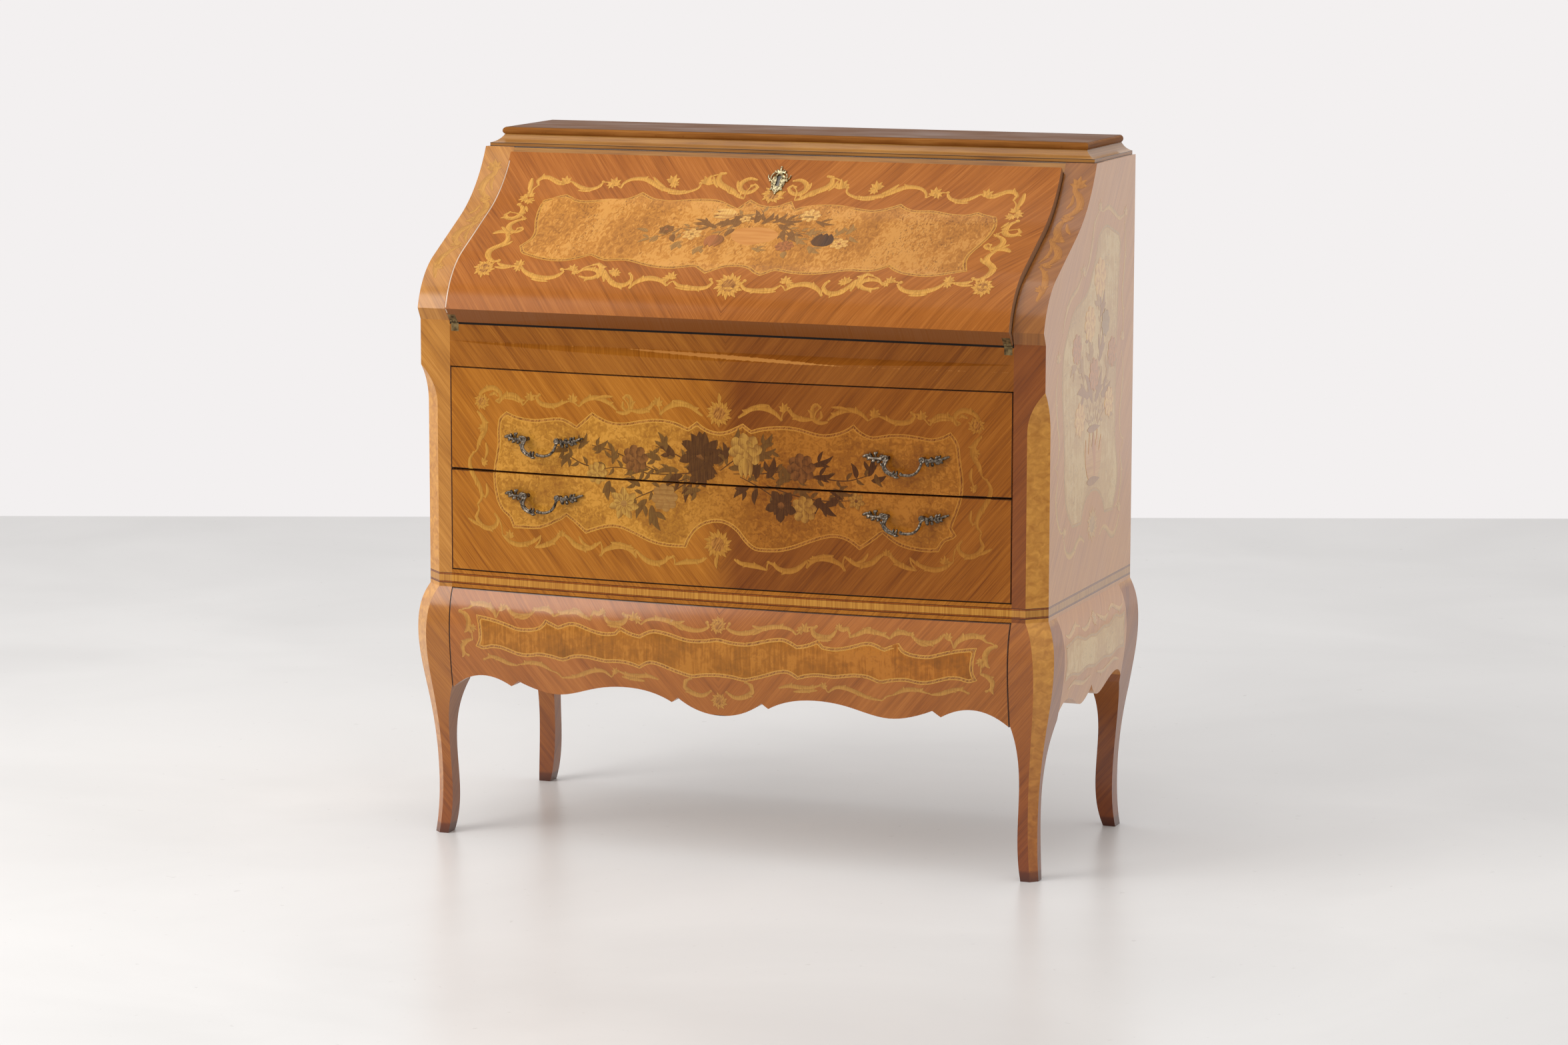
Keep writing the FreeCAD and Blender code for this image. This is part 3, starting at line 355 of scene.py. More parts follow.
def painted_edge_shade(lines):
    """Painted shade along lines, each (axis, place), but not on a face that ends there."""
    def lay(net, colour):
        for axis, where in lines:
            line = add(net.tree, "Math", {0: net.place[axis], 1: where, 2: EDGE_SHADE_HALF}, operation="COMPARE").outputs[0]
            along = add(net.tree, "Math", {0: net.way[axis], 1: 0.5}, operation="LESS_THAN").outputs[0]
            line = add(net.tree, "Math", {0: line, 1: along}, operation="MULTIPLY").outputs[0]
            # Dark brown painted shade, where edges meet the gaps round the drawers and the quirks of the mouldings.
            colour = add(net.tree, "Mix", {0: line, 6: colour, 7: linear("#2a1708")}, data_type="RGBA").outputs[2]
        return colour
    return lay


def dull_top(net, colour):
    """The upper face has lost its polish, and is dull and scratched along the grain."""
    above = add(net.tree, "Math", {0: net.rising, 1: 0.9}, operation="GREATER_THAN").outputs[0]
    dull = add(net.tree, "ValToRGB", {"Fac": net.stripe}, stops=[(0.35, "#583216"), (0.7, "#785028")]).outputs[0]
    return add(net.tree, "Mix", {0: above, 6: colour, 7: dull}, data_type="RGBA").outputs[2]


def scar(net, colour):
    """A long sliver of veneer has broken off under the fall: a lens of raw wood, SCAR in size."""
    left, right, left_rise, right_rise, half_width = SCAR
    along = add(net.tree, "MapRange", {0: net.place[0], 1: left, 2: right, 3: -1.0, 4: 1.0}).outputs[0]
    middle = add(net.tree, "MapRange", {0: along, 1: -1.0, 2: 1.0, 3: left_rise, 4: right_rise}).outputs[0]
    thin = add(net.tree, "Math", {0: along, 1: along}, operation="MULTIPLY").outputs[0]
    half = add(net.tree, "MapRange", {0: thin, 3: half_width, 4: 0.0}).outputs[0]
    half = add(net.tree, "Math", {0: net.figure, 1: 0.003, 2: half}, operation="MULTIPLY_ADD").outputs[0]
    off = add(net.tree, "Math", {0: net.place[2], 1: middle}, operation="SUBTRACT").outputs[0]
    off = add(net.tree, "Math", {0: off}, operation="ABSOLUTE").outputs[0]
    inside = add(net.tree, "Math", {0: half, 1: off}, operation="SUBTRACT").outputs[0]
    raw = add(net.tree, "MapRange", {0: inside, 1: 0.0014, 2: 0.002}).outputs[0]
    return add(net.tree, "Mix", {0: raw, 6: colour, 7: linear("#bc8040")}, data_type="RGBA").outputs[2]


def dark_foot(net, colour):
    """Legs are darker towards the floor, most of all at the tip of the foot."""
    rise = add(net.tree, "MapRange", {0: net.place[2], 2: 0.36}).outputs[0]
    low = add(net.tree, "ValToRGB", {"Fac": rise}, stops=[
        (0.0, "#7a5a44"), (0.85, "#ffffff"), (0.035, "#9c7860"), (0.045, "#d2b29a")]).outputs[0]
    return add(net.tree, "Mix", {0: 1.0, 6: colour, 7: low}, data_type="RGBA", blend_type="MULTIPLY").outputs[2]


def front_edges(*names):
    """The four edges of each named front, as (axis, place)."""
    return sorted({(axis, corner[axis]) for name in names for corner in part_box(name) for axis in (0, 2)})


print("scar in mm:", round((SCAR[1] - SCAR[0]) / MM), "long")

# %% [markdown]
# No two boards of an old desk have the same colour. One log gives dark and light sheets, the window
# has faded the sides, and the top and its mouldings are solid cherry. Each finish is a palette of
# dark, middle and light, with the extras that its board shows and the gloss and haze of its polish.

# %% Veneered boards
KINGWOOD = ("#7c430c", "#9e5e15", "#b57426")
RED_KINGWOOD = ("#7c420e", "#9a5618", "#b06b2a")
OLD_KINGWOOD = ("#703c0c", "#8e5214", "#a66822")
FADED_KINGWOOD = ("#b06c34", "#c4803f", "#d49450")
LIGHT_KINGWOOD = ("#8c561c", "#ac7028", "#c2863c")
CHERRY = ("#74440e", "#94601c", "#ac7830")
DARK_CHERRY = ("#6a3c12", "#845020", "#9a6630")
boards = {
    # Warm stripes on the slant, a browner right sheet that is partly its own tone and partly painted shade, and painted
    # shade along the edges of each drawer.
    "kingwood_drawer": (KINGWOOD, dict(right_tone_and_shade="#beaaaa", far_right_tone_and_shade="#eadede", extras=[
        painted_edge_shade(front_edges("upper_drawer_front", "lower_drawer_front"))])),
    # Darker, with painted shade in the gap under the fall, the broken sliver as a pale streak, and a right sheet
    # darkened partly by its tone and partly by painted shade.
    "kingwood_frieze": (OLD_KINGWOOD, dict(right_tone_and_shade="#e4d8dc", far_right_tone_and_shade="#ece4e8", extras=[painted_gap_shade, scar])),
    # Redder, and glossy enough to show the floor as a pale bloom on its swell.
    "kingwood_apron": (RED_KINGWOOD, dict(extras=[painted_edge_shade(front_edges("apron_drawer_front"))], gloss=0.8, haze=0.1)),
    # Light brown uprights with golden corners; the right one is darker as painted shade.
    "kingwood_upright": (LIGHT_KINGWOOD, dict(
        right_tone_and_shade="#b89470", extras=[golden_corners, cross_band], gloss=0.7)),
    # Glossy knees, darker towards the feet; the right legs a touch darker as painted shade.
    "kingwood_leg": (KINGWOOD, dict(right_tone_and_shade="#f0e0d8", extras=[golden_corners, dark_foot], gloss=0.9, haze=0.2)),
    # The strings and short grain of the band.
    "kingwood_band": (KINGWOOD, dict(extras=[cross_band])),
    # Faded and milky, as polish is where the sun has lain on it.
    "kingwood_side": (FADED_KINGWOOD, dict(extras=[cross_band], gloss=1.0, haze=0.42)),
    "kingwood_stand_side": (FADED_KINGWOOD, dict(gloss=1.0, haze=0.3)),
    # Red-brown, rather dull, with grey-brown lipping whose ends are painted paler as painted light; the cheeks are
    # lighter, and the right one darker as painted shade.
    "kingwood_fall": (RED_KINGWOOD, dict(up=FALL_UP, extras=[lipping], gloss=0.25)),
    "kingwood_cheek": (LIGHT_KINGWOOD, dict(up=FALL_UP, right_tone_and_shade="#ccbcb2", gloss=0.8)),
    # Straight grain, dull above, with painted shade in each quirk of the mouldings.
    "cherry_top": (DARK_CHERRY, dict(
        angle=0, up=(0, 1, 0.3), matched=False, extras=[painted_edge_shade([(2, 1.0212)]), dull_top], gloss=0.0)),
    "cherry_moulding": (CHERRY, dict(
        angle=0, matched=False, extras=[painted_edge_shade([(2, 1.0202), (2, 1.0085), (2, 1.0030)])], gloss=0.7, haze=0.2)),
}
finishes = {name: veneer(name, *woods, **more) for name, (woods, more) in boards.items()}
print("veneers:", len(finishes))

# %% [markdown]
# Behind the veneer the desk is plain joinery. The case, backs and runners are a brown softwood, the
# drawer boxes are pale oak, and the inside fittings have a simple straight-grained veneer. Bare
# sawn wood has no coat, so it is rougher, and its grain runs the long way of each board.

# %% Plain woods
def bare_wood(name, dark, light, along, rough_low, rough_high):
    """Planed wood with no polish: growth rings stretched along one axis."""
    material, tree, shader = blank(name)
    spot = add(tree, "TexCoord").outputs["Object"]
    stretch = [3 * MM, 3 * MM, 3 * MM]
    stretch[along] = 140 * MM
    rings, dust = [
        add(tree, "TexNoise", {"Vector": add(tree, "Mapping", {
            "Vector": spot, "Scale": scale}, vector_type="TEXTURE").outputs[0],
            "Scale": 1.0, "Detail": 3.0, "Distortion": 0.3}).outputs["Fac"]
        for scale in (stretch, (80 * MM,) * 3)]
    colour = add(tree, "ValToRGB", {"Fac": rings}, stops=[(0.32, dark), (0.68, light)]).outputs[0]
    worn = add(tree, "MapRange", {0: dust, 1: 0.4, 2: 0.7, 3: 0.0, 4: 0.3}).outputs[0]
    colour = add(tree, "Mix", {0: worn, 6: colour, 7: linear(dark)}, data_type="RGBA").outputs[2]
    tree.links.new(colour, shader.inputs["Base Color"])
    rough = add(tree, "MapRange", {0: rings, 1: 0.3, 2: 0.7, 3: rough_low, 4: rough_high})
    tree.links.new(rough.outputs[0], shader.inputs["Roughness"])
    bump = add(tree, "Bump", {"Height": rings, "Strength": 0.4, "Distance": 0.1 * MM})
    tree.links.new(bump.outputs[0], shader.inputs["Normal"])
    return material


for name, *look in (("pine_boards", "#7a5330", "#a57a4a", 0, 0.6, 0.8),
                    ("oak_lining_x", "#9a7444", "#c29c66", 0, 0.55, 0.75),
                    ("oak_lining_y", "#9a7444", "#c29c66", 1, 0.55, 0.75),
                    ("bed_veneer", "#85552c", "#b07c46", 0, 0.35, 0.5)):
    finishes[name] = bare_wood(name, *look)
print("finishes with the plain woods:", len(finishes))

# %% [markdown]
# The metal is old: brass that has lost its polish and gone brown in the hollows, and dark iron for the
# lock. A broad noise moves both its colour and its roughness, so bright rubbed places and
# dull brown ones follow each other as they do on handled metal.

# %% Metals
def old_metal(name, dull, bright, rough_low, rough_high, patch_mm):
    """Aged metal, between its dull skin and the bright metal where hands have rubbed it."""
    material, tree, shader = blank(name)
    spot = add(tree, "TexCoord").outputs["Object"]
    patch, grit = [add(tree, "TexNoise", {"Vector": spot, "Scale": 1 / (size * MM), "Detail": 4.0}).outputs["Fac"]
                   for size in (patch_mm, 0.8)]
    colour = add(tree, "ValToRGB", {"Fac": patch}, stops=[(0.36, dull), (0.62, bright)])
    tree.links.new(colour.outputs[0], shader.inputs["Base Color"])
    rough = add(tree, "MapRange", {0: patch, 1: 0.35, 2: 0.65, 3: rough_high, 4: rough_low})
    tree.links.new(rough.outputs[0], shader.inputs["Roughness"])
    bump = add(tree, "Bump", {"Height": grit, "Strength": 0.35, "Distance": 0.15 * MM})
    tree.links.new(bump.outputs[0], shader.inputs["Normal"])
    shader.inputs["Metallic"].default_value = 1.0
    return material


finishes["aged_brass"] = old_metal("aged_brass", "#3e3122", "#84704c", 0.3, 0.5, 7)
finishes["lock_iron"] = old_metal("lock_iron", "#45433f", "#68645d", 0.4, 0.6, 14)
print("finishes with the metals:", len(finishes))

# %% [markdown]
# The solids of the CAD model already have the right shapes, so most of them only need their finish.
# A table from finish to pieces is easier to check than a line for each. A few pieces show two
# finishes, by the way their faces point.

# %% Dress the CAD nodes
dress = {
    "kingwood_drawer": "upper_drawer_front lower_drawer_front",
    "kingwood_frieze": "frieze_rail",
    "kingwood_apron": "apron_drawer_front",
    "kingwood_upright": "stile_left stile_right",
    "kingwood_leg": "leg_front_left leg_front_right leg_back_left leg_back_right",
    "kingwood_stand_side": "side_apron_left side_apron_right",
    "kingwood_band": "band_rail",
    "kingwood_side": "side_panel_left side_panel_right",
    "kingwood_fall": "fall_board",
    "kingwood_cheek": "cheek_left cheek_right",
    "cherry_top": "top_board",
    "cherry_moulding": "cornice top_rail",
    "pine_boards": "back_panel stand_back_rail case_bottom case_top drawer_divider drawer_guides apron_runners",
    "oak_lining_x": "upper_drawer_back upper_drawer_bottom lower_drawer_back lower_drawer_bottom "
                    "apron_drawer_back apron_drawer_bottom",
    "oak_lining_y": "upper_drawer_sides lower_drawer_sides apron_drawer_sides "
                    "inner_drawer_left_tray inner_drawer_right_tray",
    "bed_veneer": "writing_bed gallery_boards gallery_dividers gallery_ends "
                  "inner_drawer_left_front inner_drawer_right_front",
    "aged_brass": "hinge_case_leaves hinge_fall_leaves hinge_pins escutcheon strike_plate "
                  "stay_case_arms stay_case_studs stay_fall_arms stay_fall_brackets "
                  "inner_drawer_left_knob inner_drawer_right_knob upper_drawer_handles lower_drawer_handles",
    "lock_iron": "lock_case lock_bolt",
}
dressed = 0
for finish, names in dress.items():
    for name in names.split():
        nodes[name].data.materials.clear()
        nodes[name].data.materials.append(finishes[finish])
        dressed += 1
# The outer faces of the cheeks and stiles are one sheet with the side of the case, so they take its finish.
# The inner face of the fall, which is the writing surface when it is open, is veneered like the bed.
second = {name: ("kingwood_side", lambda way: abs(way.x) > 0.9)
          for name in ("cheek_left", "cheek_right", "stile_left", "stile_right")}
second["fall_board"] = ("bed_veneer", lambda way: way.y > 0.3)
for name, (finish, shows) in second.items():
    mesh = nodes[name].data
    mesh.materials.append(finishes[finish])
    for face in mesh.polygons:
        face.material_index = int(shows(face.normal))
print("nodes dressed:", dressed, "of", len(nodes))

# %% [markdown]
# Marquetry is a picture sawn from thin coloured woods and set flush into the veneer. Painting it as a
# texture would blur at close range, so each piece is real: a flat outline drawn in millimetres on the
# sheet, cut into narrow facets, bent onto the solid behind it and given a hair of thickness. The
# bending finds the solid by shooting a line at it, so a piece always lies on what carries it.

# %% Where the faces are
STILE_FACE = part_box("stile_right")[0].y / MM
BOW_RADIUS, BOW_RISE = 4643.3, 20.0
LOW_ARC, LOW_RADIUS, LOW_START = Vector((98.469, 755.742)), 123.0, math.radians(175.14)
HIGH_ARC, HIGH_RADIUS, HIGH_START = Vector((35.897, 1105.985)), 216.0, math.radians(-62.2)
SLOPE = Vector((0.88458, 0.46639))
SLOPE_OUT = Vector((-0.46639, 0.88458))
SLOPE_FOOT = Vector((46.233, 854.815))
SLOPE_LENGTH = 108.0
FALL_PROUD = 11.0


def ogee(s, proud):
    """A point on the ogee of the slant and the way it faces, from the length run up from its foot."""
    low, high = LOW_RADIUS - FALL_PROUD + proud, HIGH_RADIUS + FALL_PROUD - proud
    first = LOW_START - math.radians(0.4) * (1 - proud / FALL_PROUD)
    bend = low * (first - math.atan2(SLOPE_OUT.y, SLOPE_OUT.x))
    if s < bend:
        out = Vector((math.cos(first - s / low), math.sin(first - s / low)))
        return LOW_ARC + out * low, out
    if s < bend + SLOPE_LENGTH:
        return SLOPE_FOOT + SLOPE_OUT * proud + SLOPE * (s - bend), SLOPE_OUT
    turn = HIGH_START + (s - bend - SLOPE_LENGTH) / high
    out = -Vector((math.cos(turn), math.sin(turn)))
    return HIGH_ARC - out * high, out


def on_fall(x, s):
    """A place on the fall in mm, and the way it faces there, from across and the length up the ogee."""
    spot, out = ogee(s, FALL_PROUD)
    return Vector((x, spot.x + STILE_FACE, spot.y)), Vector((0, out.x, out.y))


def on_cheek(x, s):
    """The same on a cheek, which lies behind the fall's face."""
    spot, out = ogee(s, 0.0)
    return Vector((x, spot.x + STILE_FACE, spot.y)), Vector((0, out.x, out.y))


def on_bow(x, z):
    """The same on the bow that the drawers and the apron share, from across and height."""
    back = math.sqrt(BOW_RADIUS ** 2 - x ** 2)
    y = STILE_FACE + BOW_RADIUS - BOW_RISE - back
    return Vector((x, y, z)), Vector((x, -back, 0)) / BOW_RADIUS


def on_right_side(y, z):
    """The same on the right side, from depth and height."""
    return Vector((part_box("side_panel_right")[1].x / MM, y + STILE_FACE, z)), Vector((1, 0, 0))


def on_left_side(y, z):
    """The same on the left side."""
    return Vector((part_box("side_panel_left")[0].x / MM, y + STILE_FACE, z)), Vector((-1, 0, 0))


print("fall face half way up, in mm:", [round(c, 1) for c in on_fall(0, 177)[0]])

# %% [markdown]
# Drawing for the fretsaw starts with a flowing line through a few points and a strip along it that
# swells and tapers. A strip is two chains of edges, one each side of its line, bridged with faces.
# One edge is marked 0 and the other 1, so that the wood can darken towards it, as a piece that was
# dipped in hot sand does. Each new piece lies a hair above the last, so that none flickers through.

# %% Lines, strips and rounds
LINE, HATCH, BURL, SCROLL, LEAF, OLIVE, GOLD, RUSSET, DUSK, FRUIT = range(10)
START_LIFT, NEXT_LIFT, PICTURE_LIFT = 0.12, 0.001, 0.04
laid = {"pieces": 0}


def new_sheet():
    """An empty drawing, with room to note each point's sand shading and its lift."""
    bm = bmesh.new()
    bm.verts.layers.float.new("shade")
    bm.verts.layers.float.new("lift")
    laid["pieces"] = 0
    return bm


def next_lift(wood):
    """How far the next piece stands above the face in mm: a hair above the pieces before it."""
    laid["pieces"] += 1
    return START_LIFT + NEXT_LIFT * laid["pieces"] + (PICTURE_LIFT if wood > SCROLL else 0.0)


def flow(points, closed=False, step=2.5, corner=52):
    """A smooth line through the points. A turn sharper than the corner, in degrees, stays sharp."""
    dots = [Vector((p[0], p[1], 0)) for p in points]
    count = len(dots)

    def heading(i):
        if not closed and i in (0, count - 1):
            return None
        before, after = dots[i % count] - dots[i - 1], dots[(i + 1) % count] - dots[i % count]
        if before.angle(after, 0) > math.radians(corner):
            return None
        return (before.normalized() + after.normalized()).normalized()

    line = []
    for i in range(count if closed else count - 1):
        a, b = dots[i], dots[(i + 1) % count]
        reach = (b - a).length
        leave, arrive = [(heading(k) or (b - a) / reach) * reach / 3 for k in (i, (i + 1) % count)]
        line += interpolate_bezier(a, a + leave, b - arrive, b, max(2, round(reach / step) + 1))[:-1]
    return line if closed else line + [dots[-1]]


def strip(bm, points, width, wood=SCROLL, blunt=0.35, belly=0.9, step=2.5):
    """A strip of veneer along a flowing line, widest at its belly and narrow at its ends."""
    shade, lift = bm.verts.layers.float["shade"], bm.verts.layers.float["lift"]
    rise = next_lift(wood)
    line = flow(points, step=step)
    last = len(line) - 1
    chains = []
    for side in (-1, 1):
        chain = []
        for i, dot in enumerate(line):
            ahead = line[min(i + 1, last)] - line[max(i - 1, 0)]
            half = width / 2 * (blunt + (1 - blunt) * math.sin(math.pi * (i / last) ** belly))
            across = Vector((-ahead.y, ahead.x, 0)).normalized() * max(half, 0.15) * side
            vert = bm.verts.new(dot + across)
            vert[shade], vert[lift] = 0.5 + 0.5 * side, rise
            chain.append(vert)
        chains += [bm.edges.new(pair) for pair in zip(chain, chain[1:])]
    for made in bmesh.ops.bridge_loops(bm, edges=chains)["faces"]:
        made.material_index = wood


def disc(bm, x, v, radius, wood=SCROLL, lobes=0, depth=0.0):
    """A round of veneer, plain or with a lobed edge."""
    shade, lift = bm.verts.layers.float["shade"], bm.verts.layers.float["lift"]
    made = bmesh.ops.create_circle(bm, cap_ends=True, segments=max(12, lobes * 6), radius=radius,
                                   matrix=Matrix.Translation((x, v, 0)))["verts"]
    rise = next_lift(wood)
    for vert in made:
        off = vert.co - Vector((x, v, 0))
        vert.co += off * depth * math.cos(lobes * math.atan2(off.y, off.x))
        vert[shade] = 0.5 - 0.5 * off.y / radius
        vert[lift] = rise
    for face in {f for vert in made for f in vert.link_faces}:
        face.material_index = wood


print("a gentle bend has", len(flow([(0, 0), (10, 4), (20, 0)])), "points along it")

# %% [markdown]
# Leaves and petals are the same shape, a strip that ends in a point, so one function makes both. A
# tuft is five leaves from one place, and a flower is rings of petals about a heart.

# %% Leaves and flowers
def pace(turn, length):
    """A step of some length, at a turn in degrees."""
    return Vector((math.cos(math.radians(turn)), math.sin(math.radians(turn)))) * length


def leaf(bm, x, v, length, width, turn, wood=SCROLL, bend=15, belly=0.75, blunt=0.05):
    """A pointed leaf that grows from a place, at a turn in degrees, and bends as it goes."""
    dots = [Vector((x, v))]
    for k in range(4):
        dots.append(dots[-1] + pace(turn + bend * (k - 1.5) / 1.5, length / 4))
    strip(bm, dots, width, wood, blunt, belly)


def tuft(bm, x, v, size, turn, wood=SCROLL):
    """A tuft of five leaves, as at the joins of scrolls."""
    for k, share in ((-2, 0.72), (2, 0.72), (-1, 0.9), (1, 0.9), (0, 1.0)):
        leaf(bm, x, v, size * share * 1.15, size * 0.48, turn + 34 * k, wood, bend=12 * k)


def flower(bm, x, v, radius, petals, wood=SCROLL, heart=HATCH, turn=0, fat=1.0):
    """Two rings of petals about a heart. More than seven petals make a leafy rosette, none a rose."""
    if not petals:
        disc(bm, x, v, radius * 0.7, heart, lobes=7, depth=0.08)
        for count, start, length, width in ((8, 0.42, 0.6, 0.66), (6, 0.2, 0.56, 0.56), (4, 0.02, 0.42, 0.42)):
            for k in range(count):
                way = turn + 360 * k / count + 200 * start
                base = Vector((x, v)) + pace(way, radius * start)
                leaf(bm, *base, radius * length, radius * width, way, wood, bend=10, belly=1.25, blunt=0.3)
        return
    rosette = petals > 7
    for ring, share in ((0.5, 1.0), (0.0, 0.8 if rosette else 0.66)):
        for k in range(petals):
            way = turn + 360 * (k + ring) / petals
            base = Vector((x, v)) + pace(way, radius * 0.12)
            leaf(bm, *base, radius * share * 0.9, fat * 3.4 * radius * share / petals, way, wood,
                 bend=8, belly=0.8 if rosette else 1.4)
    disc(bm, x, v, radius * (0.46 if rosette else 0.2), heart, lobes=petals, depth=0.06)


trial = new_sheet()
flower(trial, 0, 0, 20, 9)
print("a rosette of nine petals has", len(trial.faces), "faces")
trial.free()

# %% [markdown]
# A scroll is a strip that throws off leaflets and may end in a round eye. A border is a run of them,
# with thin stems where one reaches for the next. A panel is figured wood inside a banding of two
# light lines and a cross-cut strip. An inset of the outline would cross itself at sharp corners, so
# the banding is strips on a line inside it, in short lengths, as it is bent in by hand.

# %% Scrolls and panels
SCROLL_FULL = 1.65
BANDING = ((0.6, 1.4, LINE), (2.7, 3.0, HATCH), (4.8, 1.4, LINE))
LENGTHS = 8


def turn_along(line, i):
    """The way a line runs at one of its points, in degrees."""
    ahead = line[i + 1] - line[i - 1]
    return math.degrees(math.atan2(ahead.y, ahead.x))


def curl(bm, points, width, start=0.0, end=0.0, wood=SCROLL):
    """A scroll: a strip that throws off leaflets, and whose ends may finish in a round eye."""
    strip(bm, points, width * SCROLL_FULL, wood)
    line = flow(points)
    if len(line) > 14:
        size = min(width, 5)
        for share, side in ((0.25, 1), (0.5, -1), (0.72, 1)):
            i = int(share * len(line))
            leaf(bm, *line[i].xy, size * 2.4, size * 1.15, turn_along(line, i) + 30 * side, wood, bend=22 * side)
    for (x, v), eye_size in ((points[0], start), (points[-1], end)):
        if eye_size:
            disc(bm, x, v, eye_size, wood)


def border(bm, scrolls):
    """A run of scrolls, given as (width, first eye, last eye, points), with stems that join the main ones."""
    for width, start, end, points in scrolls:
        curl(bm, points, width, start, end)
    main = [points for width, _, _, points in scrolls if width > 3.5]
    for one, two in zip(main, main[1:]):
        near, far = min(((Vector(a), Vector(b)) for a in (one[0], one[-1]) for b in (two[0], two[-1])),
                        key=lambda pair: (pair[0] - pair[1]).length)
        if 3 < (far - near).length < 45:
            sway = Vector((near.y - far.y, far.x - near.x)) * 0.12
            strip(bm, [near, (near + far) / 2 + sway, far], 2.6, blunt=0.6)


def inner_line(line, gap):
    """The line at a set distance inside a closed line, less the loops that sharp corners would give."""
    turn = 1 if sum(a.x * b.y - b.x * a.y for a, b in zip(line, line[1:] + line[:1])) > 0 else -1
    near = KDTree(len(line))
    for i, dot in enumerate(line):
        near.insert(dot, i)
    near.balance()
    kept = []
    for before, dot, after in zip(line[-1:] + line[:-1], line, line[1:] + line[:1]):
        along = (after - before).normalized()
        moved = dot + Vector((-along.y, along.x, 0)) * turn * gap
        if near.find(moved)[2] > gap * 0.96:
            kept.append(moved)
    return kept


def panel(bm, outline, ground=BURL, strings=True):
    """A panel of figured wood inside a banding of two light lines and a cross-cut strip."""
    line = flow(outline, closed=True, step=5, corner=40)
    face = bm.faces.new([bm.verts.new(dot) for dot in line])
    face.material_index = ground
    for vert in face.verts:
        vert[bm.verts.layers.float["lift"]] = START_LIFT
    for gap, width, wood in BANDING if strings else ():
        inside = inner_line(line, gap)
        inside.append(inside[0])
        cuts = [round(k * (len(inside) - 1) / LENGTHS) for k in range(LENGTHS + 1)]
        for first, last in zip(cuts, cuts[1:]):
            strip(bm, inside[first:last + 1], width, wood, blunt=1.0, step=6)


def mirror_sheet(bm):
    """Repeats the left half of a drawing on the right."""
    bmesh.ops.mirror(bm, geom=bm.verts[:] + bm.edges[:] + bm.faces[:], axis="X", merge_dist=-1)


trial = new_sheet()
curl(trial, [(0, 0), (15, 10), (30, 0), (45, -10)], 5, 2, 2)
print("a scroll with two eyes has", len(trial.faces), "faces")
trial.free()

# %% [markdown]
# Setting in: the drawing is cut along a grid where the face bends, each point is carried to the face
# and lifted by a hair, and a Solidify modifier gives it depth down into the wood. A Shrinkwrap
# modifier could carry the points too, but a line shot along the face's own way keeps the sizes.

# %% Setting a drawing into a face
INLAY_DEPTH_MM, SHOT_MM = 1.2, 40
skins = {}


def skin(name):
    """The CAD node's skin, ready for lines to be shot at it."""
    if name not in skins:
        bm = bmesh.new()
        bm.from_mesh(nodes[name].data)
        skins[name] = BVHTree.FromBMesh(bm)
        bm.free()
    return skins[name]


def set_in(bm, name, body, node, face, woods, across=0, upward=0, keep_v=None, sink=0.0):
    """Bends a drawing onto a face of a CAD node and makes a piece of it, which rides on a body."""
    lift = bm.verts.layers.float["lift"]
    if keep_v:
        for height, way in zip(keep_v, (-1, 1)):
            bmesh.ops.bisect_plane(bm, geom=bm.verts[:] + bm.edges[:] + bm.faces[:], dist=1e-5,
                                   plane_co=(0, height, 0), plane_no=(0, way, 0), clear_outer=True)
    bm.normal_update()
    bmesh.ops.reverse_faces(bm, faces=[f for f in bm.faces if f.normal.z < 0])
    bmesh.ops.triangulate(bm, faces=bm.faces[:])
    for axis, every in ((0, across), (1, upward)):
        if every:
            low, high = [fn(v.co[axis] for v in bm.verts) for fn in (min, max)]
            for k in range(math.ceil(low / every), math.ceil(high / every)):
                way = Vector((1, 0, 0)) if axis == 0 else Vector((0, 1, 0))
                bmesh.ops.bisect_plane(bm, geom=bm.verts[:] + bm.edges[:] + bm.faces[:], dist=1e-4,
                                       plane_co=way * every * k, plane_no=way)
    bmesh.ops.triangulate(bm, faces=bm.faces[:])
    missed = 0
    for vert in bm.verts:
        spot, out = face(vert.co.x, vert.co.y)
        hit = skin(node).ray_cast((spot + out * SHOT_MM) * MM, -out)[0]
        missed += hit is None
        vert.co = (hit or spot * MM) + out * (vert[lift] - sink) * MM
    bm.verts.layers.float.remove(lift)
    bm.normal_update()
    if sum(f.normal.dot(out) for f in bm.faces) < 0:
        bmesh.ops.reverse_faces(bm, faces=bm.faces[:])
    piece = bpy.data.objects.new(name, bpy.data.meshes.new(name))
    used = sorted({f.material_index for f in bm.faces})
    for f in bm.faces:
        f.material_index = used.index(f.material_index)
    bm.to_mesh(piece.data)
    bm.free()
    for wood in used:
        piece.data.materials.append(woods[wood])
    wall = piece.modifiers.new("depth", "SOLIDIFY")
    wall.thickness, wall.offset = INLAY_DEPTH_MM * MM, -1.0
    bpy.context.scene.collection.objects.link(piece)
    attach(piece, body)
    print(name, "faces:", len(piece.data.polygons), "points off the face:", missed)


print("depth of the inlay in mm:", INLAY_DEPTH_MM)

# %% [markdown]
# The woods of the picture are boxwood for lines and scrolls, walnut and stained maple for leaves,
# satinwood and fruitwoods for petals, and burl for the grounds. Each has a fine grain of its own.
# The small pieces darken to one edge by the shading noted in the drawing. The burl grounds are
# the most alive: swirling noise, with upright streaks where the knife ran through the figure.

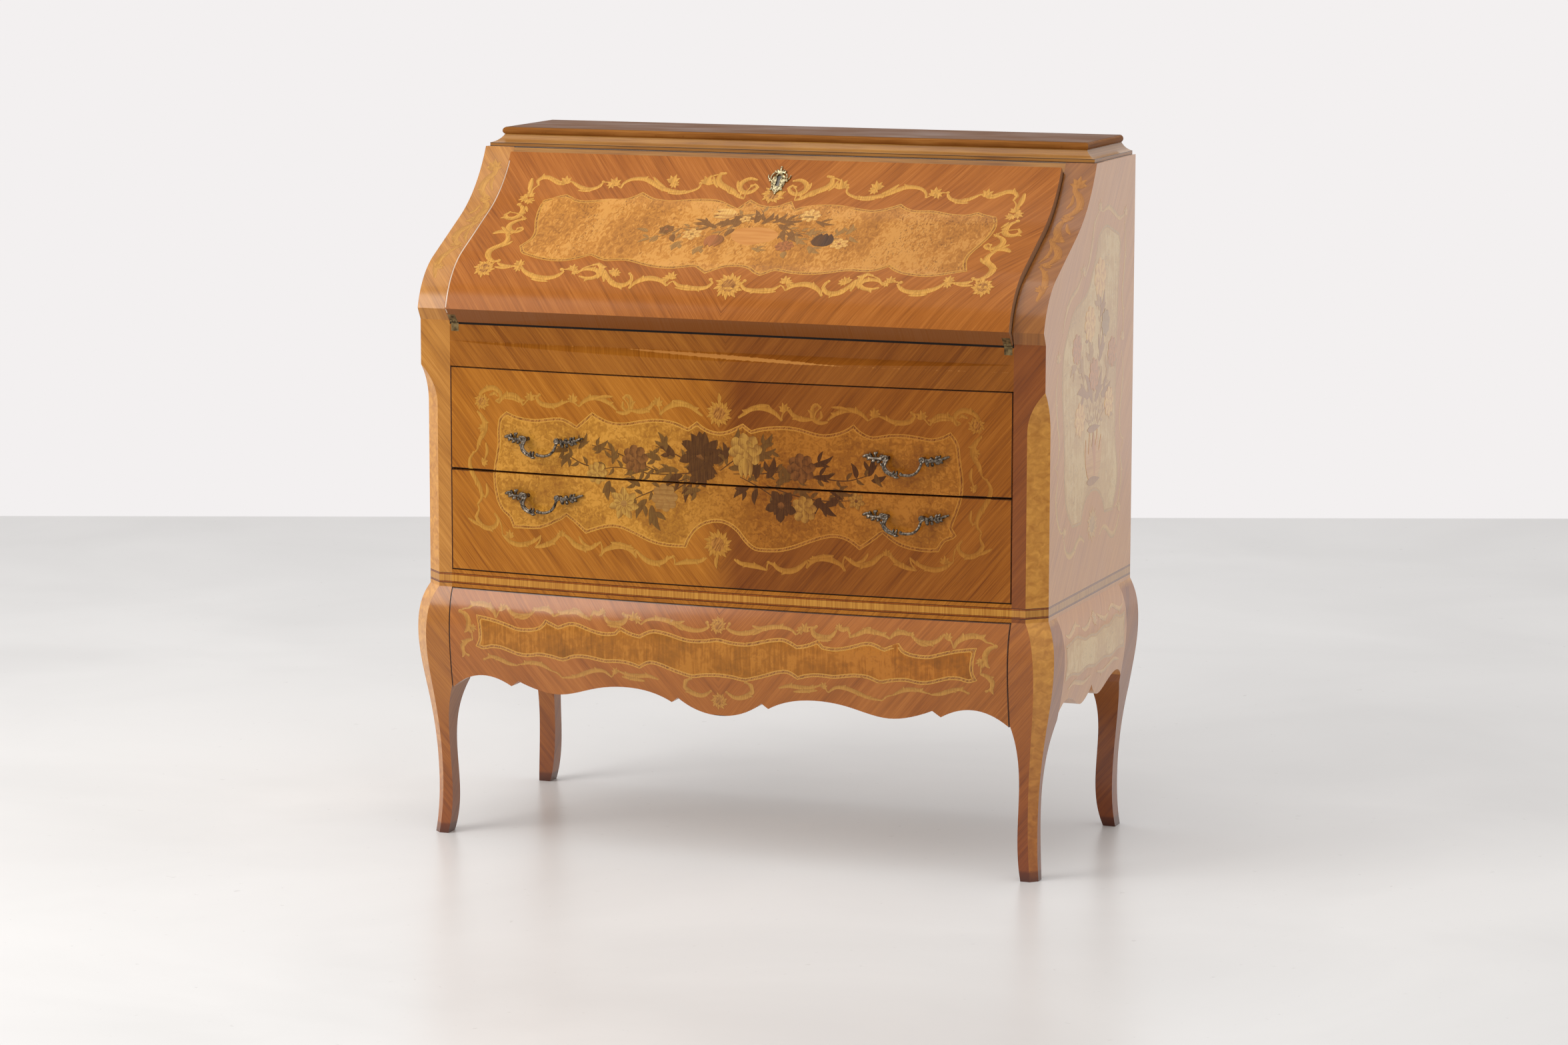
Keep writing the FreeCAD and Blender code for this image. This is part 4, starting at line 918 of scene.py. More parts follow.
# %% Inlay woods
def inlay(name, dark, light, scorch, grain_mm=(24, 1.2), turn=90, burnt=0.5, right="#ffffff",
          gloss=USUAL_GLOSS, haze=0.0):
    """A small piece of fine-grained wood, scorched in hot sand towards one edge."""
    material, tree, shader = blank(name)
    sheet, place, *_ = sheet_of(tree, matched=False)
    grain, spots = [
        add(tree, "TexNoise", {"Vector": add(tree, "Mapping", {
            "Vector": sheet, "Rotation": (0, 0, math.radians(turn)),
            "Scale": (along * MM, across * MM, 1)}, vector_type="TEXTURE").outputs[0],
            "Scale": 1.0, "Detail": 3.0}).outputs["Fac"]
        for along, across in (grain_mm, (40, 40))]
    colour = add(tree, "ValToRGB", {"Fac": grain}, stops=[(0.34, dark), (0.62, light)]).outputs[0]
    edge = add(tree, "Attribute", attribute_name="shade").outputs["Fac"]
    burn = add(tree, "MapRange", {0: edge, 1: 0.35, 2: 1.0, 3: 0.0, 4: burnt}).outputs[0]
    colour = add(tree, "Mix", {0: burn, 6: colour, 7: linear(scorch)}, data_type="RGBA").outputs[2]
    # Painted shade: the right of the front is darkened, for the light that falls off away from the window.
    along = add(tree, "MapRange", {0: place.outputs[0], 1: -0.05, 2: 0.15}).outputs[0]
    colour = add(tree, "Mix", {0: along, 6: colour, 7: linear(right)}, data_type="RGBA",
                 blend_type="MULTIPLY").outputs[2]
    rough = add(tree, "MapRange", {0: spots, 1: 0.3, 2: 0.7, 3: 0.32, 4: 0.48}).outputs[0]
    polish(tree, shader, colour, grain, rough, gloss, haze)
    return material


def burl(name, dark, mid, light, knot_mm, streak, pepper, middle="#ffffff", right="#f0ecec",
         gloss=USUAL_GLOSS, haze=0.0):
    """Burl veneer: soft swirls, drifts of fine dark eyes, and upright streaks where it was cut along."""
    material, tree, shader = blank(name)
    sheet, place, *_ = sheet_of(tree, matched=False)
    swirl, eyes, cloud, drift = [
        add(tree, "TexNoise", {"Vector": sheet, "Scale": 1 / (size * MM), "Detail": detail,
                               "Distortion": twist}).outputs["Fac"]
        for size, detail, twist in ((knot_mm, 4.0, 1.2), (2.6, 2.0, 0.6), (70, 3.0, 0.4), (34, 3.0, 0.8))]
    lines = add(tree, "TexNoise", {"Vector": add(tree, "Mapping", {
        "Vector": sheet, "Scale": (3.2 * MM, 46 * MM, 1)}, vector_type="TEXTURE").outputs[0],
        "Scale": 1.0, "Detail": 3.0, "Distortion": 0.4}).outputs["Fac"]
    tone = add(tree, "Mix", {0: streak, 2: swirl, 3: lines}).outputs[0]
    tone = add(tree, "Math", {0: cloud, 1: 0.8, 2: tone}, operation="MULTIPLY_ADD").outputs[0]
    colour = add(tree, "ValToRGB", {"Fac": tone}, stops=[(0.66, dark), (1.14, light), (0.9, mid)]).outputs[0]
    eye_mark = add(tree, "MapRange", {0: eyes, 1: 0.56, 2: 0.64, 3: 0.0, 4: pepper}).outputs[0]
    crowd = add(tree, "MapRange", {0: drift, 1: 0.44, 2: 0.6}).outputs[0]
    eye_mark = add(tree, "Math", {0: eye_mark, 1: crowd}, operation="MULTIPLY").outputs[0]
    colour = add(tree, "Mix", {0: eye_mark, 6: colour, 7: linear("#6a3d14")}, data_type="RGBA").outputs[2]
    # Right of the middle the burl is browner: partly leaves of burl that differ, partly painted shade where the light
    # falls off to the right.
    along = add(tree, "MapRange", {0: place.outputs[0], 1: -0.3, 2: 0.3}).outputs[0]
    leaves = add(tree, "ValToRGB", {"Fac": along}, stops=[(0.3, "#ffffff"), (1.0, right), (0.6, middle)]).outputs[0]
    colour = add(tree, "Mix", {0: 1.0, 6: colour, 7: leaves}, data_type="RGBA", blend_type="MULTIPLY").outputs[2]
    rough = add(tree, "MapRange", {0: cloud, 1: 0.3, 2: 0.7, 3: 0.3, 4: 0.45}).outputs[0]
    polish(tree, shader, colour, swirl, rough, gloss, haze)
    return material


def wood_set(place, ground, scroll, leaf_wood, olive, gold, russet, dusk, fruit,
             hatch=("#7a4818", "#b67c36"), right="#ffffff", gloss=USUAL_GLOSS, haze=0.0):
    """The woods of one picture, from the colours that its woods have taken with age, and any painted shade on the right
    of the front.
    """
    shine = {"right": right, "gloss": gloss, "haze": haze}
    return {
        BURL: ground,
        LINE: inlay("boxwood_line_" + place, "#ba822e", "#cc9640", "#ba822e", burnt=0.0, **shine),
        HATCH: inlay("cross_cut_tulipwood_" + place, *hatch, hatch[1], (10, 2.2), 60, 0.0, **shine),
        SCROLL: inlay("sand_shaded_boxwood_" + place, *scroll, "#74440f", burnt=0.4, **shine),
        LEAF: inlay("walnut_leaf_" + place, *leaf_wood, leaf_wood[0], **shine),
        OLIVE: inlay("olive_stained_maple_" + place, *olive, leaf_wood[1], **shine),
        GOLD: inlay("satinwood_petal_" + place, *gold, russet[0], burnt=0.7, **shine),
        RUSSET: inlay("cherry_petal_" + place, *russet, leaf_wood[0], burnt=0.7, **shine),
        DUSK: inlay("grey_stained_holly_" + place, *dusk, leaf_wood[0], **shine),
        FRUIT: inlay("pear_heart_" + place, *fruit, russet[1], (60, 3), 0, 0.5, **shine),
    }


fall_woods = wood_set(
    "fall", burl("thuya_burl_pale", "#9c6222", "#bb7c30", "#cc9044", 6, 0.15, 0.6),
    ("#b9802e", "#d49c46"), ("#70481f", "#8a5e2e"), ("#8e6430", "#a27840"), ("#cb9648", "#dcae62"),
    ("#98582c", "#ae6e3c"), ("#402a1c", "#5c402a"), ("#bd7c3a", "#c98a46"))
drawer_woods = wood_set(
    "drawer", burl("thuya_burl_gold", "#945e1e", "#b07828", "#c48a36", 7, 0.15, 0.4, "#ceb696", "#e0caba"),
    ("#aa7428", "#c08a38"), ("#48290e", "#603c18"), ("#62411a", "#785424"), ("#a2742e", "#be9244"),
    ("#74461e", "#8a5a2a"), ("#6a5634", "#826c46"), ("#8e6430", "#a4783e"), right="#e2d0c0")
apron_woods = wood_set(
    "apron", burl("thuya_burl_streaked", "#84500c", "#a06214", "#b27222", 14, 0.5, 0.3,
                  right="#fff4ea", gloss=0.6, haze=0.04),
    ("#a8722a", "#be883a"), ("#523416", "#6a4820"), ("#725022", "#86622c"), ("#946a2c", "#b08640"),
    ("#74461e", "#8a5a2a"), ("#6a5634", "#826c46"), ("#8e6430", "#a4783e"), gloss=0.8, haze=0.1)
side_woods = wood_set(
    "side", burl("thuya_burl_hazed", "#d09a4a", "#deb060", "#eac47c", 20, 0.5, 0.3, gloss=1.0, haze=0.42),
    ("#cc9444", "#dca858"), ("#a0682e", "#b2783a"), ("#b07c3a", "#c08c48"), ("#e2aa54", "#ecbc6c"),
    ("#c0742e", "#ce863c"), ("#a47a46", "#b48a54"), ("#c88a40", "#d69c50"),
    hatch=("#b08048", "#c89858"), gloss=1.0, haze=0.42)
print("inlay woods:", sum(len(w) for w in (fall_woods, drawer_woods, apron_woods, side_woods)))

# %% [markdown]
# The fall carries the largest picture: a long panel of pale burl with a bouquet across it, a border
# of scrolls above and below, and smaller ones down the sides. Its height is measured along
# the ogee from the foot. Only the left half of the border is drawn, and the mirror gives the right.

# %% The fall's scrolls
sheet = new_sheet()
border(sheet, (
        (5, 0, 0, [(-383, 306), (-382, 295), (-380, 285), (-376, 276)]),
        (4.5, 1.8, 0, [(-369, 293), (-373, 301), (-367, 307), (-357, 308), (-347, 303), (-338, 297), (-328, 296)]),
        (2.2, 0, 0, [(-353, 309), (-343, 304), (-333, 300)]),
        (4.5, 0, 2.6, [(-318, 302), (-309, 296), (-300, 291), (-289, 288), (-278, 290), (-270, 296), (-268, 303)]),
        (3, 0, 0, [(-303, 285), (-288, 285), (-274, 290)]),
        (5, 0, 3, [(-237, 292), (-235, 301), (-227, 308), (-214, 311), (-202, 310), (-191, 305), (-179, 298),
                   (-165, 292), (-150, 289), (-137, 288), (-125, 291), (-115, 298), (-114, 306)]),
        (3.2, 0, 0, [(-191, 315), (-181, 305), (-168, 297)]),
        (3, 0, 0, [(-161, 286), (-145, 285), (-129, 287)]),
        (6, 2.4, 0, [(-80, 325), (-87, 324), (-88, 314), (-83, 306), (-72, 299), (-60, 293), (-50, 284), (-39, 279)]),
        (3, 0, 0, [(-97, 319), (-93, 309), (-86, 299)]), (2.6, 0, 0, [(-72, 298), (-66, 291), (-58, 287)]),
        (5, 0, 2.8, [(-27, 315), (-39, 317), (-49, 311), (-52, 302), (-47, 294), (-38, 291), (-29, 295),
                     (-24, 302), (-29, 307), (-34, 304)]),
        (3, 0, 0, [(-57, 313), (-55, 303), (-51, 295)]),
        (6, 3.6, 2.2, [(-386, 250), (-378, 243), (-374, 231), (-376, 219), (-384, 213), (-393, 215), (-398, 223),
                       (-393, 230)]),
        (2.6, 0, 0, [(-374, 247), (-370, 240), (-366, 232)]),
        (5.5, 0, 2.4, [(-362, 213), (-374, 206), (-380, 196), (-378, 186), (-371, 179), (-362, 178), (-356, 184),
                       (-359, 190), (-364, 187)]),
        (6, 0, 0, [(-398, 171), (-388, 177), (-377, 176), (-371, 168)]),
        (3.4, 0, 0, [(-391, 190), (-384, 184), (-378, 177)]),
        (6.5, 0, 3, [(-376, 172), (-370, 162), (-368, 152), (-373, 141), (-381, 133), (-385, 124), (-383, 113),
                     (-377, 105), (-369, 101), (-362, 103)]),
        (3, 0, 0, [(-359, 153), (-363, 145), (-370, 137)]), (2.6, 0, 0, [(-389, 119), (-384, 110), (-378, 103)]),
        (4, 0, 0, [(-363, 98), (-352, 93), (-341, 92), (-332, 94)]), (3, 0, 0, [(-365, 90), (-350, 89), (-338, 91)]),
        (5, 0, 3, [(-324, 94), (-317, 85), (-305, 78), (-290, 74), (-275, 74), (-262, 78), (-255, 86), (-259, 90)]),
        (2.6, 0, 0, [(-302, 71), (-288, 69), (-275, 68)]),
        (4.5, 0, 0, [(-233, 84), (-226, 91), (-214, 93), (-203, 90), (-198, 83), (-206, 77), (-218, 76), (-229, 79)]),
        (5, 2.4, 0, [(-213, 101), (-206, 104), (-200, 99), (-196, 90), (-190, 80), (-188, 71)]),
        (5, 0, 2.4, [(-192, 92), (-184, 79), (-175, 70), (-164, 66), (-153, 68), (-146, 75), (-148, 83), (-152, 87)]),
        (5.5, 2.4, 0, [(-146, 63), (-141, 70), (-133, 76), (-121, 80), (-108, 79), (-98, 75), (-90, 68)]),
        (4.5, 0, 3, [(-82, 77), (-73, 70), (-58, 67), (-42, 66), (-28, 69), (-22, 76), (-26, 82)]),
        (2.4, 0, 0, [(-77, 66), (-60, 64), (-44, 63)])))
for x, s, size, turn in ((-327, 297, 14, 95), (-250, 296, 15, 85), (-252, 302, 11, 250), (-160, 304, 15, 75),
                         (-157, 306, 11, 300), (-106, 304, 16, 75), (-377, 268, 12, 80), (-378, 266, 13, 205),
                         (-376, 262, 12, 320), (-368, 212, 8, 20), (-328, 94, 12, 90), (-327, 93, 10, 260),
                         (-243, 88, 12, 85), (-240, 88, 9, 330), (-180, 84, 13, 60), (-176, 88, 10, 330),
                         (-88, 80, 13, 80), (-89, 80, 10, 170)):
    tuft(sheet, x, s, size, turn)
flower(sheet, -380, 87, 17, 8, turn=20)
mirror_sheet(sheet)
flower(sheet, 4, 289, 19, 9)
flower(sheet, 4, 73, 23, 10)
set_in(sheet, "fall_scrolls", "fall", "fall_board", on_fall, fall_woods, upward=6)

# %% [markdown]
# The panel's outline waves in and out between points. It was drawn whole, because its two halves
# differ, as hand-sawn ones do.

# %% The fall's panel
top_edge = [(-351, 262), (-340, 267), (-330, 272), (-318, 276), (-308, 271), (-298, 266), (-285, 264), (-270, 266),
            (-250, 269.5), (-220, 272), (-210, 278), (-200, 286), (-190, 280), (-178, 274), (-165, 271.5),
            (-150, 270.5), (-130, 273), (-110, 275.5), (-90, 276), (-75, 274), (-60, 267), (-43, 258), (-36, 269),
            (-28, 278), (-20, 273), (-8, 267), (5, 265), (18, 267), (30, 274), (36, 277), (46, 260), (55, 266),
            (70, 270), (90, 272), (110, 272), (130, 269), (150, 265), (165, 264), (180, 268), (192, 273),
            (203, 279), (212, 272), (225, 267), (255, 267), (285, 261), (300, 260), (312, 262), (322, 267),
            (335, 262), (352, 258)]
right_edge = [(357, 245), (359, 228), (356, 205), (351, 188), (345, 172), (341, 155), (342, 140), (349, 118)]
foot_edge = [(342, 116), (330, 112), (315, 107), (295, 103), (275, 103.5), (255, 107), (240, 114), (231, 122),
             (225, 117), (215, 111), (200, 108), (180, 109), (165, 107), (150, 103), (130, 99), (110, 98),
             (90, 99), (75, 102), (65, 103), (55, 97), (46, 92), (38, 95), (20, 107), (5, 109), (-10, 107.5),
             (-20, 103), (-38, 92), (-48, 99), (-58, 105.5), (-65, 105), (-80, 101.5), (-95, 99.5), (-110, 100),
             (-130, 103), (-150, 109), (-165, 113), (-180, 113), (-195, 111), (-203, 112), (-225, 123),
             (-245, 112), (-262, 107), (-280, 106.5), (-300, 109.5), (-320, 116), (-333, 122)]
left_edge = [(-344, 141), (-335, 160), (-334, 170), (-337, 185), (-344, 205), (-349, 225), (-352, 245)]
sheet = new_sheet()
panel(sheet, top_edge + right_edge + foot_edge + left_edge)
set_in(sheet, "fall_panel", "fall", "fall_board", on_fall, fall_woods, upward=6)

# %% [markdown]
# The long left edge of the fall carries a painted highlight: one thin strip of pale wood that stands in for the light
# caught by its rounded edge, and follows the ogee from foot to head, made with the same tools.

# %% The fall's painted edge highlight
sheet = new_sheet()
# A pale glossy strip: painted highlight along the fall's left edge.
strip(sheet, [(-427.6, 4), (-427.6, 120), (-427.6, 240), (-427.6, 336)], 2.0, LINE, blunt=0.8)
painted_edge_highlight = inlay("painted_highlight_lipping", "#a8896c", "#cdb59c", "#a8896c", (40, 3), 90, 0.0, gloss=1.0)
set_in(sheet, "fall_painted_edge_highlight", "fall", "fall_board", on_fall, {LINE: painted_edge_highlight}, upward=6)

# %% [markdown]
# The bouquets are loose bunches of garden flowers, as such desks have carried for three centuries.
# Each is a list of stems, leaves and flower heads. Stems are thin strips, leaves are dark walnut or
# olive-stained maple, and each head has its own wood. They are set a little above their panel,
# so that petals cover stems cleanly.

# %% Bouquet tool
def bouquet(bm, stems, leaves, heads):
    """Stems as lines, leaves as (x, height, length, width, turn, wood), heads as flower settings."""
    for points in stems:
        strip(bm, points, 1.6, LEAF, blunt=0.6)
        line = flow(points, step=7)
        for i in range(2, len(line) - 1, 2):
            side = 1 if i % 4 else -1
            leaf(bm, *line[i].xy, 15, 5.5, turn_along(line, i) + 48 * side, OLIVE, bend=-20 * side)
    for x, v, length, width, turn, wood in leaves:
        leaf(bm, x, v, length, width * 0.8, turn, wood, bend=18)
        if length > 24:
            way = pace(turn, length * 0.3)
            for side in (-1, 1):
                leaf(bm, x + way.x, v + way.y, length * 0.5, width * 0.55, turn + 42 * side, wood, bend=-14 * side)
    for x, v, radius, petals, wood, heart, fat in heads:
        flower(bm, x, v, radius, petals, wood, heart, turn=17, fat=fat)


def tulip(bm, x, v, length, width, turn, wood, lining):
    """A closed tulip from the side: three long petals over a darker lining."""
    leaf(bm, x, v, length * 0.9, width, turn, lining, bend=0)
    for k in (-1, 1, 0):
        leaf(bm, x, v, length, width * 0.62, turn + 13 * k, wood, bend=-14 * k)


trial = new_sheet()
tulip(trial, 0, 0, 30, 20, 90, GOLD, RUSSET)
print("a tulip has", len(trial.faces), "faces before it is set in")
trial.free()

# %% [markdown]
# The fall's bouquet is small and light. It grows from both sides of a plain oval of pear wood,
# which is a panel without banding, set in first so that the leaves lie over its edge.

# %% The fall's bouquet
sheet = new_sheet()
bouquet(sheet, stems=[
    [(-20, 222), (-60, 212), (-100, 205), (-135, 196)], [(-30, 218), (-48, 196), (-50, 180)],
    [(30, 222), (50, 205), (62, 188), (62, 172)], [(40, 216), (75, 200), (105, 196)],
    [(-10, 226), (-25, 238), (-40, 243)], [(15, 226), (45, 234), (72, 244)],
    [(-70, 210), (-95, 196), (-115, 184)], [(60, 208), (100, 200), (128, 182), (140, 178)],
    [(-110, 202), (-125, 188), (-140, 178), (-160, 172)], [(0, 225), (2, 245), (-6, 258)]],
    leaves=[
    (-58, 206, 44, 11, 165, LEAF), (-70, 212, 34, 9, 150, LEAF), (-14, 226, 34, 12, 160, LEAF),
    (-32, 210, 30, 15, 100, LEAF), (-50, 214, 26, 14, 60, LEAF), (-40, 222, 26, 14, 200, LEAF),
    (-30, 206, 24, 13, 250, LEAF), (-4, 222, 36, 12, 105, LEAF), (6, 220, 34, 11, 72, LEAF),
    (22, 224, 32, 10, 60, LEAF), (30, 230, 42, 11, 8, LEAF), (34, 222, 26, 12, 330, LEAF),
    (46, 208, 34, 11, 290, LEAF), (58, 206, 36, 12, 300, LEAF), (70, 190, 30, 11, 320, OLIVE),
    (86, 234, 34, 9, 345, LEAF), (80, 200, 26, 11, 25, OLIVE), (-30, 240, 22, 9, 20, OLIVE),
    (-84, 196, 20, 9, 210, OLIVE), (-118, 186, 22, 12, 290, LEAF), (-140, 182, 22, 9, 250, OLIVE),
    (-62, 158, 26, 13, 250, OLIVE), (-100, 168, 26, 14, 255, OLIVE), (126, 196, 26, 9, 70, OLIVE),
    (96, 168, 30, 12, 320, OLIVE), (142, 200, 30, 10, 85, OLIVE), (150, 196, 24, 9, 320, OLIVE),
    (66, 152, 20, 12, 280, OLIVE), (12, 158, 26, 9, 350, OLIVE), (-160, 190, 22, 10, 160, OLIVE),
    (-150, 172, 20, 8, 215, OLIVE), (-72, 252, 16, 6, 350, LEAF), (-74, 238, 17, 6, 12, LEAF)],
    heads=[
    (74, 246, 15, 0, GOLD, OLIVE, 1.1), (-90, 188, 16, 6, GOLD, OLIVE, 1.2), (140, 176, 15, 6, GOLD, RUSSET, 1.2),
    (60, 165, 14, 0, RUSSET, LEAF, 1.5), (-133, 198, 12, 6, LEAF, RUSSET, 1.4), (-22, 232, 9, 5, GOLD, LEAF, 1.3)])
tulip(sheet, -38, 243, 38, 20, 180, GOLD, RUSSET)
tulip(sheet, -50, 188, 32, 30, 265, RUSSET, LEAF)
tulip(sheet, 112, 168, 34, 34, 88, DUSK, LEAF)
heart = [(-32, 196), (-24, 206), (-8, 210), (10, 212), (28, 207), (40, 198), (42, 188), (36, 178), (20, 170),
         (4, 164), (-12, 169), (-26, 180)]
shape = new_sheet()
panel(shape, heart, FRUIT, strings=False)
for vert in shape.verts:
    vert[shape.verts.layers.float["lift"]] = START_LIFT + PICTURE_LIFT
set_in(shape, "fall_bouquet_heart", "fall", "fall_board", on_fall, fall_woods, upward=6)
set_in(sheet, "fall_bouquet", "fall", "fall_board", on_fall, fall_woods, upward=6)

# %% [markdown]
# The two bowed drawers share one picture, sawn apart at the gap between them, so that each half
# slides out with its own drawer. It has a border of scrolls, a panel and a bouquet, each drawn on
# a sheet of its own. The scrolls are drawn for the left half and mirrored.

# %% The drawers' scrolls
scrolls = new_sheet()
border(scrolls, (
        (4.5, 0, 0, [(-384, 652), (-380, 662), (-370, 669), (-358, 671), (-348, 665), (-347, 656), (-356, 652)]),
        (3, 0, 0, [(-366, 660), (-357, 664), (-352, 659)]),
        (4.5, 0, 0, [(-350, 649), (-344, 658), (-334, 662), (-322, 661), (-314, 654), (-311, 648)]),
        (3, 0, 0, [(-341, 657), (-327, 657), (-316, 652)]),
        (4.5, 2.2, 0, [(-284, 665), (-289, 660), (-283, 653), (-271, 650), (-258, 651), (-247, 655), (-238, 658)]),
        (4.5, 0, 0, [(-221, 651), (-213, 659), (-203, 664), (-190, 665), (-178, 661), (-168, 655), (-161, 649)]),
        (3, 0, 0, [(-167, 668), (-183, 667), (-198, 662)]),
        (4.5, 0, 2.4, [(-162, 647), (-151, 645), (-142, 649), (-138, 658), (-139, 667), (-146, 671), (-150, 667)]),
        (3, 0, 0, [(-151, 662), (-152, 654), (-146, 648)]),
        (4.5, 0, 0, [(-141, 650), (-130, 649), (-118, 650), (-108, 656), (-101, 663)]),
        (5, 2.4, 0, [(-92, 647), (-84, 655), (-72, 661), (-58, 663), (-46, 660), (-36, 653), (-27, 647)]),
        (3, 0, 0, [(-73, 667), (-62, 666), (-50, 664)]),
        (5, 0, 0, [(-386, 636), (-378, 627), (-373, 616), (-376, 603), (-383, 592), (-386, 580)]),
        (4.5, 2.2, 0, [(-393, 574), (-399, 563), (-397, 549), (-390, 536), (-382, 522), (-380, 508), (-387, 498)]),
        (3, 0, 0, [(-372, 590), (-370, 578), (-374, 566)]), (3, 0, 0, [(-372, 530), (-370, 518), (-374, 508)]),
        (4.5, 0, 0, [(-384, 491), (-389, 480), (-383, 470), (-370, 464), (-358, 468), (-352, 478), (-359, 487)]),
        (3, 0, 0, [(-402, 477), (-391, 471), (-380, 466)]),
        (4.5, 0, 0, [(-346, 456), (-334, 447), (-320, 443), (-304, 446), (-291, 452), (-283, 459)]),
        (4.5, 0, 0, [(-293, 441), (-280, 444), (-267, 449), (-257, 457), (-249, 464)]),
        (5, 0, 0, [(-247, 464), (-237, 457), (-228, 449), (-216, 445), (-203, 446), (-194, 451), (-187, 456)]),
        (3, 0, 0, [(-222, 462), (-215, 452), (-205, 448)]),
        (5, 2.2, 0, [(-187, 436), (-182, 443), (-172, 448), (-160, 451), (-147, 450), (-137, 444), (-130, 436)]),
        (3, 0, 0, [(-171, 456), (-152, 454), (-135, 450)]),
        (5, 0, 2.4, [(-131, 447), (-122, 438), (-112, 432), (-100, 430), (-88, 433), (-80, 439), (-73, 441)]),
        (4.5, 0, 0, [(-71, 430), (-56, 434), (-41, 436), (-29, 438), (-21, 443)])))
for x, z, size, turn in ((-300, 656, 12, 80), (-231, 657, 12, 85), (-98, 659, 12, 70), (-374, 612, 10, 190),
                         (-334, 452, 11, 90), (-250, 460, 9, 80), (-379, 560, 10, 20)):
    tuft(scrolls, x, z, size, turn)
flower(scrolls, -378, 650, 13, 8)
mirror_sheet(scrolls)
flower(scrolls, -2, 652, 20, 10)
leaf(scrolls, -3, 667, 15, 6, 88)
flower(scrolls, -4, 463, 22, 10)
leaf(scrolls, -5, 446, 19, 6, 268)
print("faces in the drawers' scrolls:", len(scrolls.faces))

# %% [markdown]
# The panel's ground is golden burl with a deep bay at its foot, where a rosette of the border sits.

# %% The drawers' panel
ground = new_sheet()
panel(ground, [
    (-350, 627), (-338, 638), (-325, 633), (-310, 630), (-290, 629), (-260, 633), (-248, 633), (-236, 629),
    (-225, 623), (-213, 633), (-200, 644), (-190, 639), (-175, 633), (-160, 631), (-145, 632), (-125, 636),
    (-105, 639), (-85, 639), (-68, 636), (-50, 629), (-36, 639), (-28, 633), (-18, 628), (-5, 625.5), (8, 627),
    (20, 632), (34, 639), (47, 630), (60, 634), (80, 637), (100, 638), (120, 636), (140, 631), (155, 629),
    (170, 631), (185, 636), (200, 645), (207, 638), (217, 632), (228, 629), (240, 631), (255, 633.5), (275, 634),
    (295, 632), (315, 630), (330, 634), (341, 640), (352, 625), (356, 600), (360, 570), (358, 545), (350, 520),
    (344, 504), (351, 493), (345, 488), (335, 484), (330, 478), (325, 469), (312, 468), (297, 468.5), (280, 471),
    (265, 476), (252, 484), (243, 491), (232, 482), (220, 473), (209, 466), (195, 476), (182, 481), (170, 482),
    (155, 479), (135, 472), (115, 464), (95, 458), (75, 456), (53, 457), (45, 461), (35, 470), (25, 482),
    (12, 491), (-2, 494.5), (-15, 493), (-28, 488), (-40, 478), (-48, 466), (-53, 455), (-80, 455),
    (-95, 456.5), (-110, 460), (-125, 466), (-140, 472), (-155, 477), (-170, 478), (-185, 475), (-200, 470),
    (-211, 466), (-222, 475), (-232, 483), (-242, 490), (-248, 485), (-260, 479), (-275, 472), (-290, 468),
    (-310, 467.5), (-328, 467), (-335, 482), (-345, 490), (-352, 500), (-358, 520), (-360, 545), (-353, 590),
    (-353, 610)])
print("faces in the drawers' panel:", len(ground.faces))

# %% [markdown]
# The drawers' bouquet is the darkest picture on the desk: two walnut blooms in the middle, a pale
# one beside them, and looser sprays to both sides.

